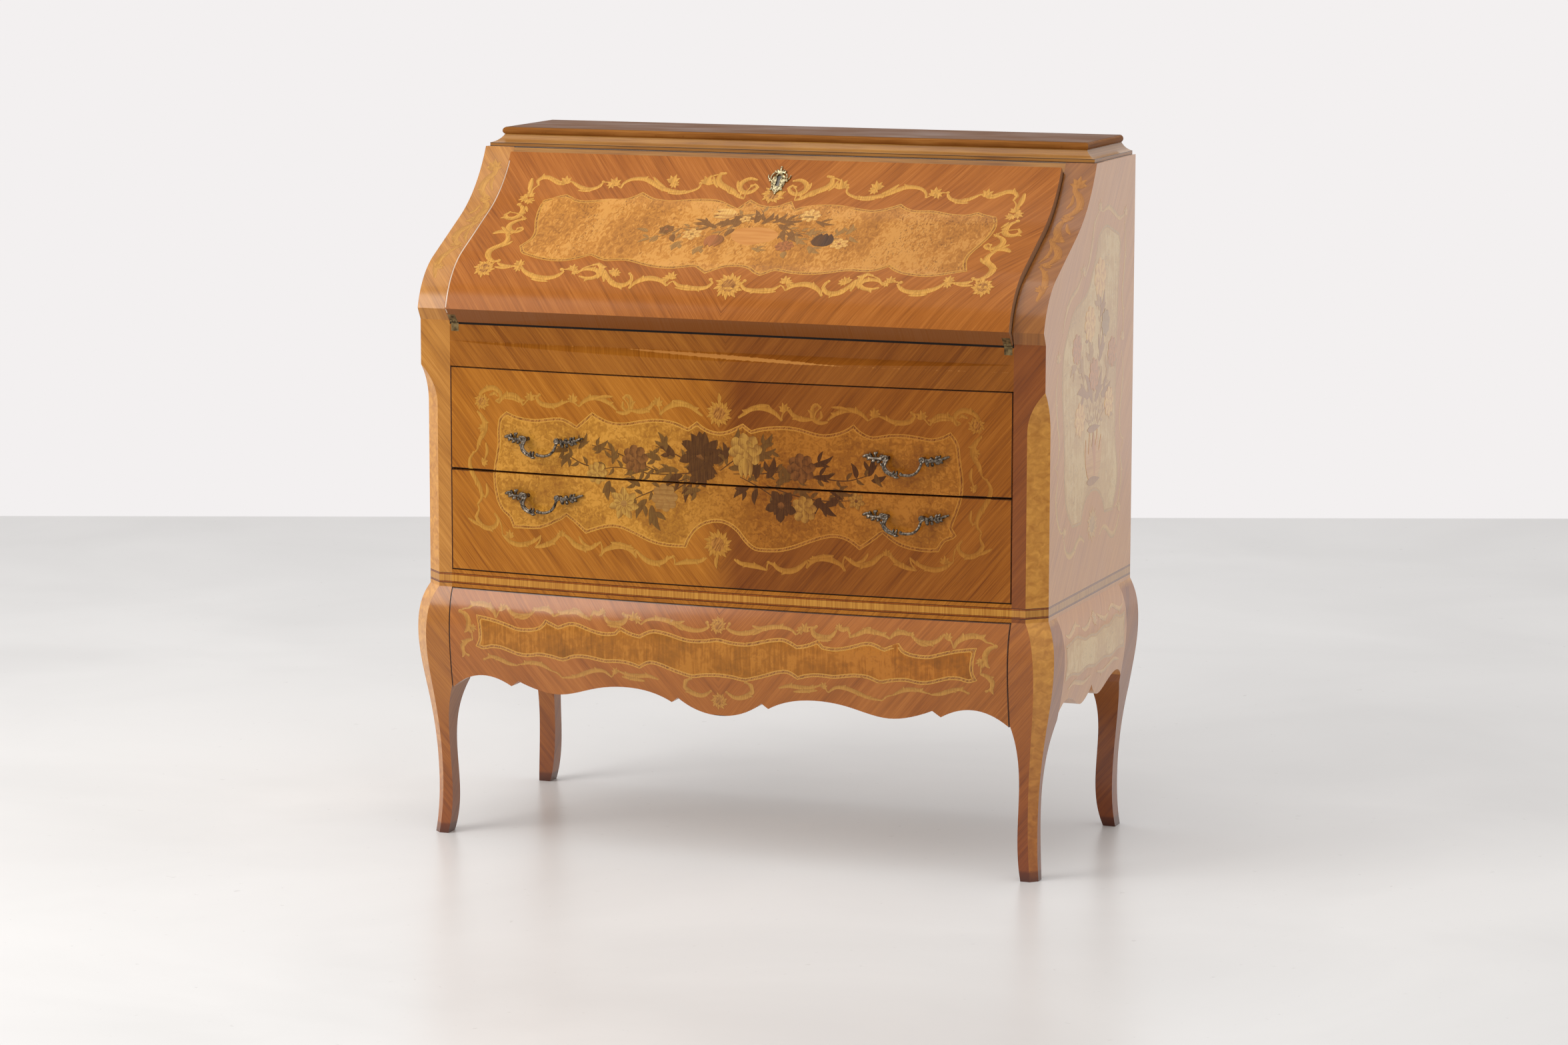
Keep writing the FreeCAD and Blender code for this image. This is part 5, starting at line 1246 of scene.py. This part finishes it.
# %% The drawers' bouquet
flowers = new_sheet()
bouquet(flowers, stems=[
    [(-10, 570), (-60, 562), (-110, 560), (-160, 566), (-185, 562)],
    [(-40, 560), (-80, 545), (-120, 528), (-145, 516)],
    [(-20, 560), (-50, 550), (-80, 530)], [(20, 566), (60, 568), (100, 574), (130, 580)],
    [(30, 562), (60, 548), (90, 530)], [(70, 552), (110, 540), (150, 534), (200, 536)],
    [(0, 570), (20, 585), (36, 596)], [(-90, 562), (-130, 575), (-170, 590), (-200, 596)],
    [(90, 560), (140, 566), (190, 564), (225, 574)], [(-180, 562), (-215, 568), (-240, 580)],
    [(-30, 570), (-70, 590), (-100, 600)], [(30, 580), (60, 596), (84, 604)]],
    leaves=[
    (-70, 586, 30, 13, 150, LEAF), (-84, 594, 30, 11, 115, OLIVE), (-92, 580, 30, 12, 170, OLIVE),
    (-58, 560, 34, 12, 215, LEAF), (-44, 548, 30, 11, 250, LEAF), (-64, 566, 40, 11, 190, OLIVE),
    (-110, 566, 34, 10, 200, OLIVE), (-2, 576, 30, 12, 88, OLIVE), (8, 586, 26, 11, 100, LEAF),
    (12, 574, 34, 11, 20, OLIVE), (54, 592, 34, 12, 25, OLIVE), (60, 604, 30, 12, 50, OLIVE),
    (54, 560, 32, 13, 100, LEAF), (70, 562, 34, 14, 70, LEAF), (44, 548, 30, 12, 215, LEAF),
    (56, 546, 24, 11, 260, LEAF), (84, 556, 32, 12, 40, OLIVE), (138, 584, 36, 10, 25, LEAF),
    (140, 568, 34, 10, 10, LEAF), (118, 552, 30, 12, 320, OLIVE), (150, 534, 34, 13, 320, LEAF),
    (152, 538, 26, 13, 250, LEAF), (158, 530, 24, 12, 20, LEAF), (184, 536, 26, 10, 150, LEAF),
    (170, 552, 30, 10, 345, OLIVE), (204, 568, 24, 10, 110, LEAF), (222, 572, 30, 11, 80, LEAF),
    (226, 566, 24, 11, 20, LEAF), (232, 576, 22, 9, 300, OLIVE), (-106, 514, 40, 15, 290, OLIVE),
    (-114, 522, 34, 13, 240, OLIVE), (-124, 540, 30, 11, 160, OLIVE), (-168, 570, 32, 9, 95, OLIVE),
    (-200, 590, 30, 10, 30, OLIVE), (-232, 582, 28, 11, 230, OLIVE), (-238, 586, 26, 10, 190, OLIVE),
    (-222, 590, 28, 9, 60, OLIVE), (-172, 546, 30, 14, 265, OLIVE), (-30, 540, 30, 10, 200, OLIVE),
    (100, 560, 24, 10, 110, OLIVE), (-140, 556, 24, 10, 110, OLIVE), (20, 612, 22, 9, 70, OLIVE)],
    heads=[
    (-132, 580, 20, 0, RUSSET, OLIVE, 1.5), (122, 579, 21, 0, RUSSET, LEAF, 1.5), (-192, 556, 16, 0, GOLD, FRUIT, 1.2),
    (-150, 514, 24, 7, GOLD, FRUIT, 0.9), (-86, 526, 20, 0, FRUIT, DUSK, 1.4), (126, 520, 19, 0, GOLD, FRUIT, 1.2),
    (204, 536, 13, 6, GOLD, RUSSET, 1.0), (38, 600, 25, 0, GOLD, FRUIT, 1.3), (92, 524, 24, 5, LEAF, RUSSET, 0.8),
    (-30, 590, 34, 7, LEAF, RUSSET, 0.8), (-30, 566, 22, 6, LEAF, RUSSET, 0.9)])
for turn in (80, 118, 155, 40, 12):
    leaf(flowers, -30, 592, 33, 17, turn, LEAF, bend=10)
for turn in (250, 290, 325, 215):
    leaf(flowers, -27, 580, 27, 14, turn, LEAF, bend=10)
tulip(flowers, 38, 590, 30, 18, 272, GOLD, RUSSET)
print("faces in the drawers' bouquet:", len(flowers.faces))

# %% [markdown]
# Each sheet is copied for each drawer, and what lies on the other drawer is cut off at the gap, as
# the saw did. The heights are of the gap and of the drawers' outer edges.

# %% Set the drawers' pieces in
GAP_LOW, GAP_HIGH, FOOT, HEAD = 547.3, 550.3, 401.0, 698.0
for drawer, keep in (("upper_drawer", (GAP_HIGH, HEAD)), ("lower_drawer", (FOOT, GAP_LOW))):
    for part, drawing in (("scrolls", scrolls), ("panel", ground), ("bouquet", flowers)):
        set_in(drawing.copy(), drawer + "_" + part, drawer, drawer + "_front", on_bow,
               drawer_woods, across=20, keep_v=keep)
for drawing in (scrolls, ground, flowers):
    drawing.free()

# %% [markdown]
# The stand has the same dress at a smaller scale: a long streaked panel on the bowed front, which
# is itself a drawer, and a shorter one on each side, with a run of scrolls above.

# %% The stand's front
sheet = new_sheet()
border(sheet, (
        (4.5, 2.6, 0, [(17, 350), (14, 344), (21, 340), (32, 338), (45, 339), (58, 343), (70, 347), (85, 350),
                       (100, 350), (112, 347), (119, 341)]),
        (3, 0, 0, [(53, 337), (62, 342), (72, 347)]), (3, 0, 0, [(52, 350), (62, 347), (75, 348)]),
        (5, 2.4, 0, [(148, 354), (142, 350), (146, 343), (155, 340), (166, 340), (174, 344), (178, 351)]),
        (3, 0, 0, [(150, 336), (160, 336), (172, 337)]),
        (4, 0, 2, [(178, 356), (186, 352), (195, 354), (198, 347)]),
        (4.5, 0, 0, [(198, 342), (210, 347), (222, 352), (235, 351), (248, 348), (258, 343)]),
        (3, 0, 0, [(216, 351), (223, 355), (229, 357)]),
        (4.5, 0, 2.2, [(257, 343), (264, 350), (275, 353), (284, 351), (291, 350)]),
        (4.5, 0, 0, [(289, 349), (297, 343), (308, 340), (320, 341), (330, 346), (336, 354)]),
        (3, 0, 0, [(296, 341), (304, 338), (313, 336)]),
        (5, 0, 0, [(351, 334), (355, 343), (365, 350), (378, 353), (390, 351), (398, 345)]),
        (5, 3, 0, [(411, 340), (402, 336), (396, 326), (397, 316), (390, 309)]),
        (4.5, 0, 2.2, [(389, 300), (399, 297), (407, 289), (405, 279), (398, 275)]),
        (4, 0, 0, [(92, 262), (108, 266), (125, 265), (142, 266), (155, 270)]),
        (3.4, 0, 0, [(114, 258), (132, 260), (150, 262)]),
        (4, 0, 0, [(166, 260), (178, 268), (192, 268), (208, 263), (226, 256), (246, 253)]),
        (4, 0, 0, [(262, 262), (278, 270), (296, 272), (312, 268)]),
        (4, 0, 2, [(318, 266), (332, 268), (346, 273), (360, 276), (372, 271)]),
        (4.5, 2, 2.4, [(12, 250), (24, 243), (40, 245), (52, 253), (51, 263), (42, 267)])))
for x, z, size, turn in ((130, 346, 12, 75), (128, 348, 9, 190), (182, 352, 8, 95), (340, 346, 10, 60),
                         (392, 318, 9, 200), (158, 266, 9, 60)):
    tuft(sheet, x, z, size, turn)
mirror_sheet(sheet)
flower(sheet, 0, 347, 13, 9)
flower(sheet, 0, 236, 13, 9)
set_in(sheet, "apron_scrolls", "apron_drawer", "apron_drawer_front", on_bow, apron_woods, across=20, upward=6)

half = [(0, 329), (20, 326), (40, 325), (55, 327), (70, 331), (85, 334), (100, 335), (112, 331), (121, 326),
        (135, 329), (152, 336), (160, 327.5), (175, 326), (190, 328), (205, 332), (218, 336), (230, 337),
        (250, 330), (260, 334), (271, 338), (278, 329), (287, 325), (300, 323), (315, 323), (330, 327),
        (345, 331), (360, 334), (384, 337), (380, 318), (380, 300), (385, 290), (372, 286), (360, 289),
        (345, 289), (330, 285), (316, 281), (300, 280), (280, 283), (260, 281), (243, 278), (225, 284),
        (205, 285), (190, 283), (175, 281), (158, 282), (140, 281), (121, 276), (105, 284), (90, 282), (75, 277),
        (55, 271), (40, 268), (20, 271), (0, 272)]
sheet = new_sheet()
panel(sheet, half + [(-x, z) for x, z in half[-2:0:-1]])
set_in(sheet, "apron_panel", "apron_drawer", "apron_drawer_front", on_bow, apron_woods, across=20, upward=6)

# %% [markdown]
# Each flat side of the case has a tall panel with a vase of flowers, and each side of the stand a small
# one. They are drawn once, in depth and height, and set in on the right and on the left.

# %% The sides
def side_scrolls():
    """Scrolls round the tall panel of a side."""
    bm = new_sheet()
    border(bm, (
            (6, 2.5, 0, [(95, 478), (104, 462), (122, 452), (142, 455), (160, 466), (178, 470), (196, 462)]),
            (6, 0, 2.5, [(372, 478), (362, 462), (345, 452), (326, 455), (308, 466), (290, 470), (274, 462)]),
            (5, 0, 2.4, [(60, 720), (52, 690), (58, 655), (68, 625), (62, 596), (50, 588)]),
            (5, 0, 2.4, [(66, 570), (56, 545), (62, 515), (80, 492), (92, 490)]),
            (5, 0, 2.4, [(376, 720), (384, 690), (378, 655), (370, 625), (376, 596), (388, 588)]),
            (5, 0, 2.4, [(372, 570), (382, 545), (376, 515), (362, 495), (350, 492)]),
            (5, 0, 2.4, [(80, 775), (96, 802), (122, 822), (150, 832), (170, 846), (166, 858)]),
            (5, 2.4, 0, [(186, 846), (206, 866), (220, 892), (232, 918), (250, 932)]),
            (5, 0, 2.4, [(270, 932), (300, 936), (330, 926), (356, 916), (380, 918)]),
            (5, 2.4, 0, [(384, 906), (390, 870), (384, 836), (376, 800), (384, 770), (380, 740)])))
    for y, z, size, turn in ((100, 484, 14, 120), (368, 484, 14, 60), (62, 735, 15, 95), (378, 735, 15, 85),
                             (176, 850, 14, 45), (258, 934, 14, 90), (386, 918, 13, 70)):
        tuft(bm, y, z, size, turn)
    flower(bm, 235, 482, 26, 10)
    return bm


def side_ground():
    """The tall panel of a side."""
    bm = new_sheet()
    panel(bm, [(250, 897), (240, 875), (225, 855), (200, 825), (165, 812), (140, 805), (118, 790), (100, 770),
               (85, 750), (78, 700), (85, 650), (92, 600), (93, 560), (105, 520), (135, 490), (180, 489), (190, 510),
               (210, 525), (235, 530), (262, 525), (285, 508), (295, 490), (338, 488), (350, 505), (362, 530),
               (360, 560), (350, 590), (348, 640), (348, 700), (355, 800), (365, 880), (355, 895), (320, 905),
               (290, 912), (262, 905)])
    return bm


def side_bouquet():
    """A vase of flowers: stems, leaves and heads above a footed vase of five staves."""
    bm = new_sheet()
    bouquet(bm, stems=[
        [(235, 620), (230, 680), (220, 740), (215, 770)], [(238, 620), (255, 690), (265, 760), (262, 830)],
        [(230, 622), (200, 670), (170, 710), (150, 740)], [(242, 622), (280, 670), (310, 700), (325, 720)],
        [(228, 618), (195, 640), (165, 645)], [(244, 618), (280, 640), (310, 650)]],
        leaves=[
        (226, 660, 60, 20, 130, LEAF), (240, 660, 60, 20, 55, LEAF), (200, 672, 50, 18, 170, LEAF),
        (270, 668, 52, 18, 15, LEAF), (222, 710, 52, 18, 110, OLIVE), (258, 716, 54, 18, 65, LEAF),
        (180, 700, 44, 16, 120, OLIVE), (296, 690, 44, 16, 70, OLIVE), (262, 780, 46, 16, 60, LEAF),
        (258, 790, 40, 15, 120, OLIVE), (216, 750, 36, 14, 150, LEAF), (300, 650, 40, 15, 330, OLIVE),
        (180, 640, 40, 15, 210, OLIVE), (150, 720, 36, 14, 200, OLIVE), (320, 716, 36, 14, 350, OLIVE)],
        heads=[
        (262, 838, 28, 0, GOLD, FRUIT, 1.3), (168, 642, 24, 0, GOLD, FRUIT, 1.3), (150, 745, 22, 0, RUSSET, FRUIT, 1.4),
        (214, 775, 26, 0, GOLD, FRUIT, 1.2), (326, 724, 22, 0, RUSSET, FRUIT, 1.4), (312, 652, 22, 0, GOLD, FRUIT, 1.3),
        (236, 700, 24, 0, RUSSET, FRUIT, 1.4), (290, 770, 20, 0, DUSK, FRUIT, 1.4)])
    for turn in (60, 76, 90, 104, 120):
        leaf(bm, 236, 544, 78, 22, turn, RUSSET if turn % 4 else FRUIT, bend=(90 - turn) * 0.7)
    leaf(bm, 205, 546, 62, 13, 0, LEAF, bend=0)
    leaf(bm, 205, 622, 62, 11, 0, LEAF, bend=0)
    return bm


def stand_side():
    """The small panel and scrolls on a side of the stand."""
    bm = new_sheet()
    panel(bm, [(69, 332), (95, 334), (126, 338), (144, 334), (165, 329), (192, 330), (218, 327), (240, 330),
               (257, 332), (284, 330), (319, 338), (345, 333), (367, 335), (363, 305), (367, 280), (336, 283),
               (301, 277), (262, 281), (218, 276), (179, 281), (139, 277), (100, 283), (69, 279), (73, 305)])
    for points in ([(75, 346), (89, 342), (108, 346), (126, 352), (144, 348)],
                   [(152, 344), (168, 340), (187, 344), (201, 350)],
                   [(361, 346), (347, 342), (328, 346), (310, 352), (292, 348)],
                   [(284, 344), (268, 340), (249, 344), (235, 350)],
                   [(91, 266), (117, 271), (144, 266), (170, 262), (200, 266)],
                   [(345, 266), (319, 271), (292, 266), (266, 262), (236, 266)]):
        curl(bm, points, 4.5, 0, 2.2)
    flower(bm, 218, 348, 12, 8)
    return bm


for hand, face in (("right", on_right_side), ("left", on_left_side)):
    for part, make in (("scrolls", side_scrolls), ("ground", side_ground), ("bouquet", side_bouquet)):
        set_in(make(), "side_%s_%s" % (part, hand), "case", "side_panel_" + hand, face, side_woods, sink=0.09)
    set_in(stand_side(), "stand_side_inlay_" + hand, "case", "side_apron_" + hand, face, side_woods, upward=6)

# %% [markdown]
# The cheeks beside the fall carry one broad leafy scroll each, which climbs the whole ogee.

# %% The cheeks
sheet = new_sheet()
border(sheet, (
        (6, 0, 2.5, [(-459, 66), (-464, 88), (-461, 112), (-452, 132), (-445, 140)]),
        (7, 2.5, 0, [(-446, 146), (-457, 152), (-463, 168), (-458, 186), (-447, 200), (-440, 212)]),
        (3.5, 0, 0, [(-440, 150), (-447, 166), (-449, 184), (-445, 198)]),
        (7, 0, 2.5, [(-462, 206), (-451, 218), (-444, 236), (-447, 254), (-457, 262)]),
        (3.5, 0, 0, [(-466, 226), (-459, 236), (-455, 250)]),
        (7, 2.5, 0, [(-447, 266), (-458, 272), (-465, 286), (-461, 302), (-452, 314), (-450, 326)]),
        (3.2, 0, 0, [(-446, 280), (-452, 292), (-451, 306)])))
for x, s, size, turn in ((-455, 318, 18, 95), (-448, 208, 14, 100), (-455, 256, 14, 60), (-452, 140, 12, 120),
                         (-461, 84, 12, 70)):
    tuft(sheet, x, s, size, turn)
cheek_boxwood = inlay("sand_shaded_boxwood_cheek", "#b07a30", "#c48e42", "#8a581e", right="#e8d6c6", gloss=0.5)
cheek_woods = {SCROLL: cheek_boxwood, HATCH: cheek_boxwood}
right = sheet.copy()
bmesh.ops.scale(right, vec=(-1, 1, 1), verts=right.verts)
set_in(sheet, "cheek_scroll_left", "case", "cheek_left", on_cheek, cheek_woods, upward=6)
set_in(right, "cheek_scroll_right", "case", "cheek_right", on_cheek, cheek_woods, upward=6)

# %% [markdown]
# The four handles and the key plate are rococo castings: leaves, volutes and a bail with a knot of
# leaves. Sculpting by brush can't be written down, so the form is modelled as in wax, by pressing many
# small lumps together. The lumps are stretched icospheres, in lines and in single lobes, and a voxel
# Remesh modifier melts them into one skin. The pits and gaps between the lumps catch the dark.

# %% Wax tools
def lobe(bm, place, sizes, turn=0.0, detail=2):
    """One lump of wax, stretched to its sizes and turned in the plane of the face; all in mm."""
    way = Matrix.Translation(place) @ Matrix.Rotation(math.radians(turn), 4, "Z") @ Matrix.Diagonal((*sizes, 1))
    bmesh.ops.create_icosphere(bm, subdivisions=detail, radius=1.0, matrix=way)


def bead_line(bm, points, thick, thin=None, closed=False):
    """A rope of wax through places (across, up, out), from one thickness to another."""
    thin = thick if thin is None else thin
    line = flow([p[:2] for p in points], closed=closed, step=min(thick, thin) * 0.7, corner=100)
    reach = [0.0]
    for a, b in zip(line, line[1:]):
        reach.append(reach[-1] + (b - a).length)
    for dot, run in zip(line, reach):
        share = run / reach[-1]
        stage = share * (len(points) - 1)
        k = min(int(stage), len(points) - 2)
        out = points[k][2] + (points[k + 1][2] - points[k][2]) * (stage - k)
        size = thick + (thin - thick) * share
        lobe(bm, (dot.x, dot.y, out), (size, size, size), detail=1)


def cast(bm, name, body, face, places, voxel_mm, metal, stands_for):
    """Copies a wax to each place on a face, melts the lumps together and makes the piece."""
    whole = bmesh.new()
    for x, v in places:
        copy = bm.copy()
        for vert in copy.verts:
            spot, out = face(x + vert.co.x, v + vert.co.y)
            vert.co = (spot + out * vert.co.z) * MM
        mesh = bpy.data.meshes.new("wax")
        copy.to_mesh(mesh)
        whole.from_mesh(mesh)
        copy.free()
        bpy.data.meshes.remove(mesh)
    bmesh.ops.recalc_face_normals(whole, faces=whole.faces[:])
    piece = bpy.data.objects.new(name, bpy.data.meshes.new(name))
    whole.to_mesh(piece.data)
    whole.free()
    melt = piece.modifiers.new("melt", "REMESH")
    melt.mode, melt.voxel_size, melt.use_smooth_shade = "VOXEL", voxel_mm * MM, True
    soft = piece.modifiers.new("soften", "SMOOTH")
    soft.factor, soft.iterations = 0.5, 2
    bpy.context.scene.collection.objects.link(piece)
    done = bpy.data.meshes.new_from_object(piece.evaluated_get(bpy.context.evaluated_depsgraph_get()))
    piece.modifiers.clear()
    piece.data = done
    done.name = name
    done.materials.clear()
    done.materials.append(metal)
    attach(piece, body)
    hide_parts(stands_for)
    print(name, "triangles:", sum(len(p.vertices) - 2 for p in done.polygons))


trial = bmesh.new()
lobe(trial, (0, 0, 0), (2, 1, 1))
print("a lump of wax has", len(trial.faces), "faces")
trial.free()

# %% [markdown]
# A handle hangs between two eyes, each a volute with a pit. Outside the eyes a spray of leaves lies
# down on the drawer and ends in a hooked tip. The left arm of the bail is fluted, the knot sits left
# of the middle, and a plain rod runs on to the right eye. All four are from one mould, so one wax is
# modelled and copied.

# %% Drawer handles
cast_pewter = old_metal("rubbed_cast_pewter", "#2a231c", "#7e7366", 0.28, 0.5, 3)
wax = bmesh.new()
for points, thick, thin in (
        ([(-60, 1, 2), (-50, -1, 4), (-40, -1, 6), (-31, -1, 9), (-27, 0, 10)], 1.7, 3.6),
        ([(-28, -3, 13), (-30.5, -10, 14), (-27.5, -17, 15), (-20, -22, 16), (-13, -23.5, 16.5)], 1.9, 1.9),
        ([(-25.5, -5, 13), (-27, -10, 14), (-24.5, -15, 15), (-18.5, -19, 16), (-12, -20.5, 16.5)], 1.8, 1.8),
        ([(-3, -21.5, 16.5), (7, -22, 16), (16, -19.5, 15), (22, -13, 14), (25, -5, 12.5)], 2.6, 2.4),
        ([(27, 0, 10), (33, -1, 8.5), (42, -1, 6), (52, 1, 4), (61, 4, 2.5)], 3.6, 1.6),
        ([(-26, 0, 1), (-26, 0.4, 6), (-26, 0, 11)], 3.6, 3.6),
        ([(26, 0, 1), (26, 0.4, 6), (26, 0, 11)], 3.6, 3.6)):
    bead_line(wax, points, thick, thin)
for x, ring in ((-27, 3.9), (26, 3.3)):
    bead_line(wax, [(x + ring * math.cos(a), ring * math.sin(a), 13) for a in (0, 1.26, 2.51, 3.77, 5.03)],
              1.7, closed=True)
    lobe(wax, (x, 0, 9.5), (4.6, 4.6, 3.2))
for place, sizes, turn in (
        ((-58, 2.2, 3.2), (5.6, 2.4, 2.4), 18), ((-61.5, 0.6, 2.4), (2.0, 2.0, 1.8), 0),
        ((-50.5, 3.6, 4.6), (2.2, 4.0, 3.0), 30), ((-43.5, 5.2, 6), (2.3, 3.8, 3.0), 25),
        ((-41, 7.2, 6.6), (2.0, 2.0, 2.2), 0), ((-53.5, -2.6, 4), (3.8, 1.9, 2.4), 15),
        ((-46, -4.6, 5), (4.6, 2.4, 2.8), 25), ((-38, -5.2, 6.6), (4.0, 2.4, 2.8), 30),
        ((-33.5, -8.8, 9.5), (2.3, 2.6, 2.4), 0), ((-33, 3.4, 9), (4.2, 1.8, 2.4), 12),
        ((-14, -19.2, 17), (1.7, 4.4, 3.0), -24), ((-8.8, -19.6, 17.6), (1.9, 4.6, 3.2), -8),
        ((-3.2, -20.6, 17), (2.5, 3.0, 2.8), 0), ((-9.6, -25.2, 17), (4.2, 1.9, 2.4), 4),
        ((-15, -23, 16.6), (3.2, 2.2, 2.4), 8), ((33, -5, 9), (3.1, 5.2, 3.2), 18),
        ((39, 1.4, 8), (3.3, 3.5, 3.0), 0), ((45.5, 3.4, 6.2), (2.2, 3.9, 2.8), -28),
        ((46.5, -4.2, 5.4), (4.0, 2.3, 2.6), -20), ((39.5, -6.6, 6.2), (2.7, 3.2, 2.6), 10),
        ((52, -2.8, 4.2), (3.4, 2.0, 2.2), -15), ((56.5, 2.8, 3.4), (6.4, 2.3, 2.3), 22),
        ((62, 4.8, 2.4), (2.0, 1.8, 1.8), 0), ((50, 5.0, 4.8), (1.8, 2.8, 2.2), -30)):
    lobe(wax, place, sizes, turn)
HANDLE_ACROSS = 277.0
for drawer, rise in (("upper_drawer", 600.0), ("lower_drawer", 517.0)):
    low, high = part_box(drawer + "_handles")
    cast(wax, drawer + "_handle_castings", drawer, on_bow, [(-HANDLE_ACROSS, rise), (HANDLE_ACROSS, rise)],
         0.55, cast_pewter, drawer + "_handles")
    print("CAD handle heights in mm:", round(low.z / MM, 1), round(high.z / MM, 1))
wax.free()

# %% [markdown]
# The key plate is a small cartouche of pale worn brass: a scrolled rim with ears, a leaf crown and a tail, round a
# shallow dish with the keyhole. The dish is many low lumps side by side, left out where the keyhole is, and a dark disc
# of lock iron laid on the fall behind it shows through the hole as painted shade, for the shade inside the keyhole.

# %% Key plate
plate_brass = old_metal("worn_pale_brass", "#54472c", "#d3c59c", 0.24, 0.46, 3)
low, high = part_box("escutcheon")
plate_x, plate_z = (low.x + high.x) / 2 / MM, (low.z + high.z) / 2 / MM
plate_s = min(range(250, 351), key=lambda s: abs(on_fall(0, s)[0].z - plate_z))
wax = bmesh.new()
rim = [(0, 11, 2), (4, 11.6, 2.2), (8.6, 9.8, 2.2), (11, 5.6, 2.2), (10.6, 1.4, 2), (8.2, -2.4, 2), (6.8, -7, 2),
       (6.4, -11, 2), (3.6, -14.4, 1.8), (0, -18.5, 1.5)]
ear = [(11, 2, 1.6), (13.4, 2.4, 1.6), (15.2, 5, 1.5), (15.6, 8, 1.4)]
keyhole_lip = [(3.4, 7.2, 2.2), (4, 4, 2.2), (2.9, 0.5, 2.2), (3.2, -6.6, 2.2)]
for side in (-1, 1):
    for points, thick, thin in ((rim, 1.15, 1.0), (ear, 1.2, 0.8), (keyhole_lip, 0.7, 0.7)):
        bead_line(wax, [(side * x, y, out) for x, y, out in points], thick, thin)
    for place, sizes, turn in (((3.4, 13.6, 1.6), (1.5, 3.0, 1.3), -38), ((6.4, 12.6, 1.4), (1.3, 2.6, 1.2), -62),
                               ((7.2, -12.6, 1.4), (1.6, 2.2, 1.2), 40), ((11.8, 0.2, 1.4), (1.6, 1.6, 1.3), 0)):
        lobe(wax, (side * place[0], *place[1:]), sizes, side * turn)
for place, sizes in (((0, 16.8, 1.5), (1.6, 4.0, 1.4)), ((0, 12.8, 2.0), (2.4, 1.6, 1.4)),
                     ((0, -16.5, 1.4), (1.8, 4.2, 1.3)), ((0, -9.6, 1.6), (3.0, 1.6, 1.3))):
    lobe(wax, place, sizes)
bead_line(wax, [(-3.4, 7.2, 2.2), (-2, 9, 2.2), (0, 9.6, 2.2), (2, 9, 2.2), (3.4, 7.2, 2.2)], 0.7, 0.7)
for i in range(-8, 9):
    for k in range(-11, 9):
        x, y = i * 1.15, k * 1.3
        in_dish = (x / 9.6) ** 2 + ((y + 1) / 12.5) ** 2 < 1
        in_hole = x ** 2 + (y - 5.6) ** 2 < 3.6 ** 2 or (abs(x) < 2.9 and -6.6 < y < 5)
        if in_dish and not in_hole:
            lobe(wax, (x, y, 0.9), (1.0, 1.1, 0.8), detail=1)
TALL, WIDE = 1.25, 1.1
bmesh.ops.scale(wax, vec=(WIDE, TALL, 1), verts=wax.verts)
cast(wax, "key_plate", "fall", on_fall, [(plate_x, plate_s)], 0.3, plate_brass, "escutcheon")
wax.free()

# Painted shade: a dark disc and slot under the key plate stand in for the shade inside the keyhole.
dark = new_sheet()
disc(dark, plate_x, plate_s + 4.5 * TALL, 4.8, DUSK)
strip(dark, [(plate_x, plate_s + 4 * TALL), (plate_x, plate_s - 7.5 * TALL)], 7 * WIDE, DUSK, blunt=1.0)
set_in(dark, "keyhole_shadow", "fall", "fall_board", on_fall, {DUSK: finishes["lock_iron"]}, upward=3)
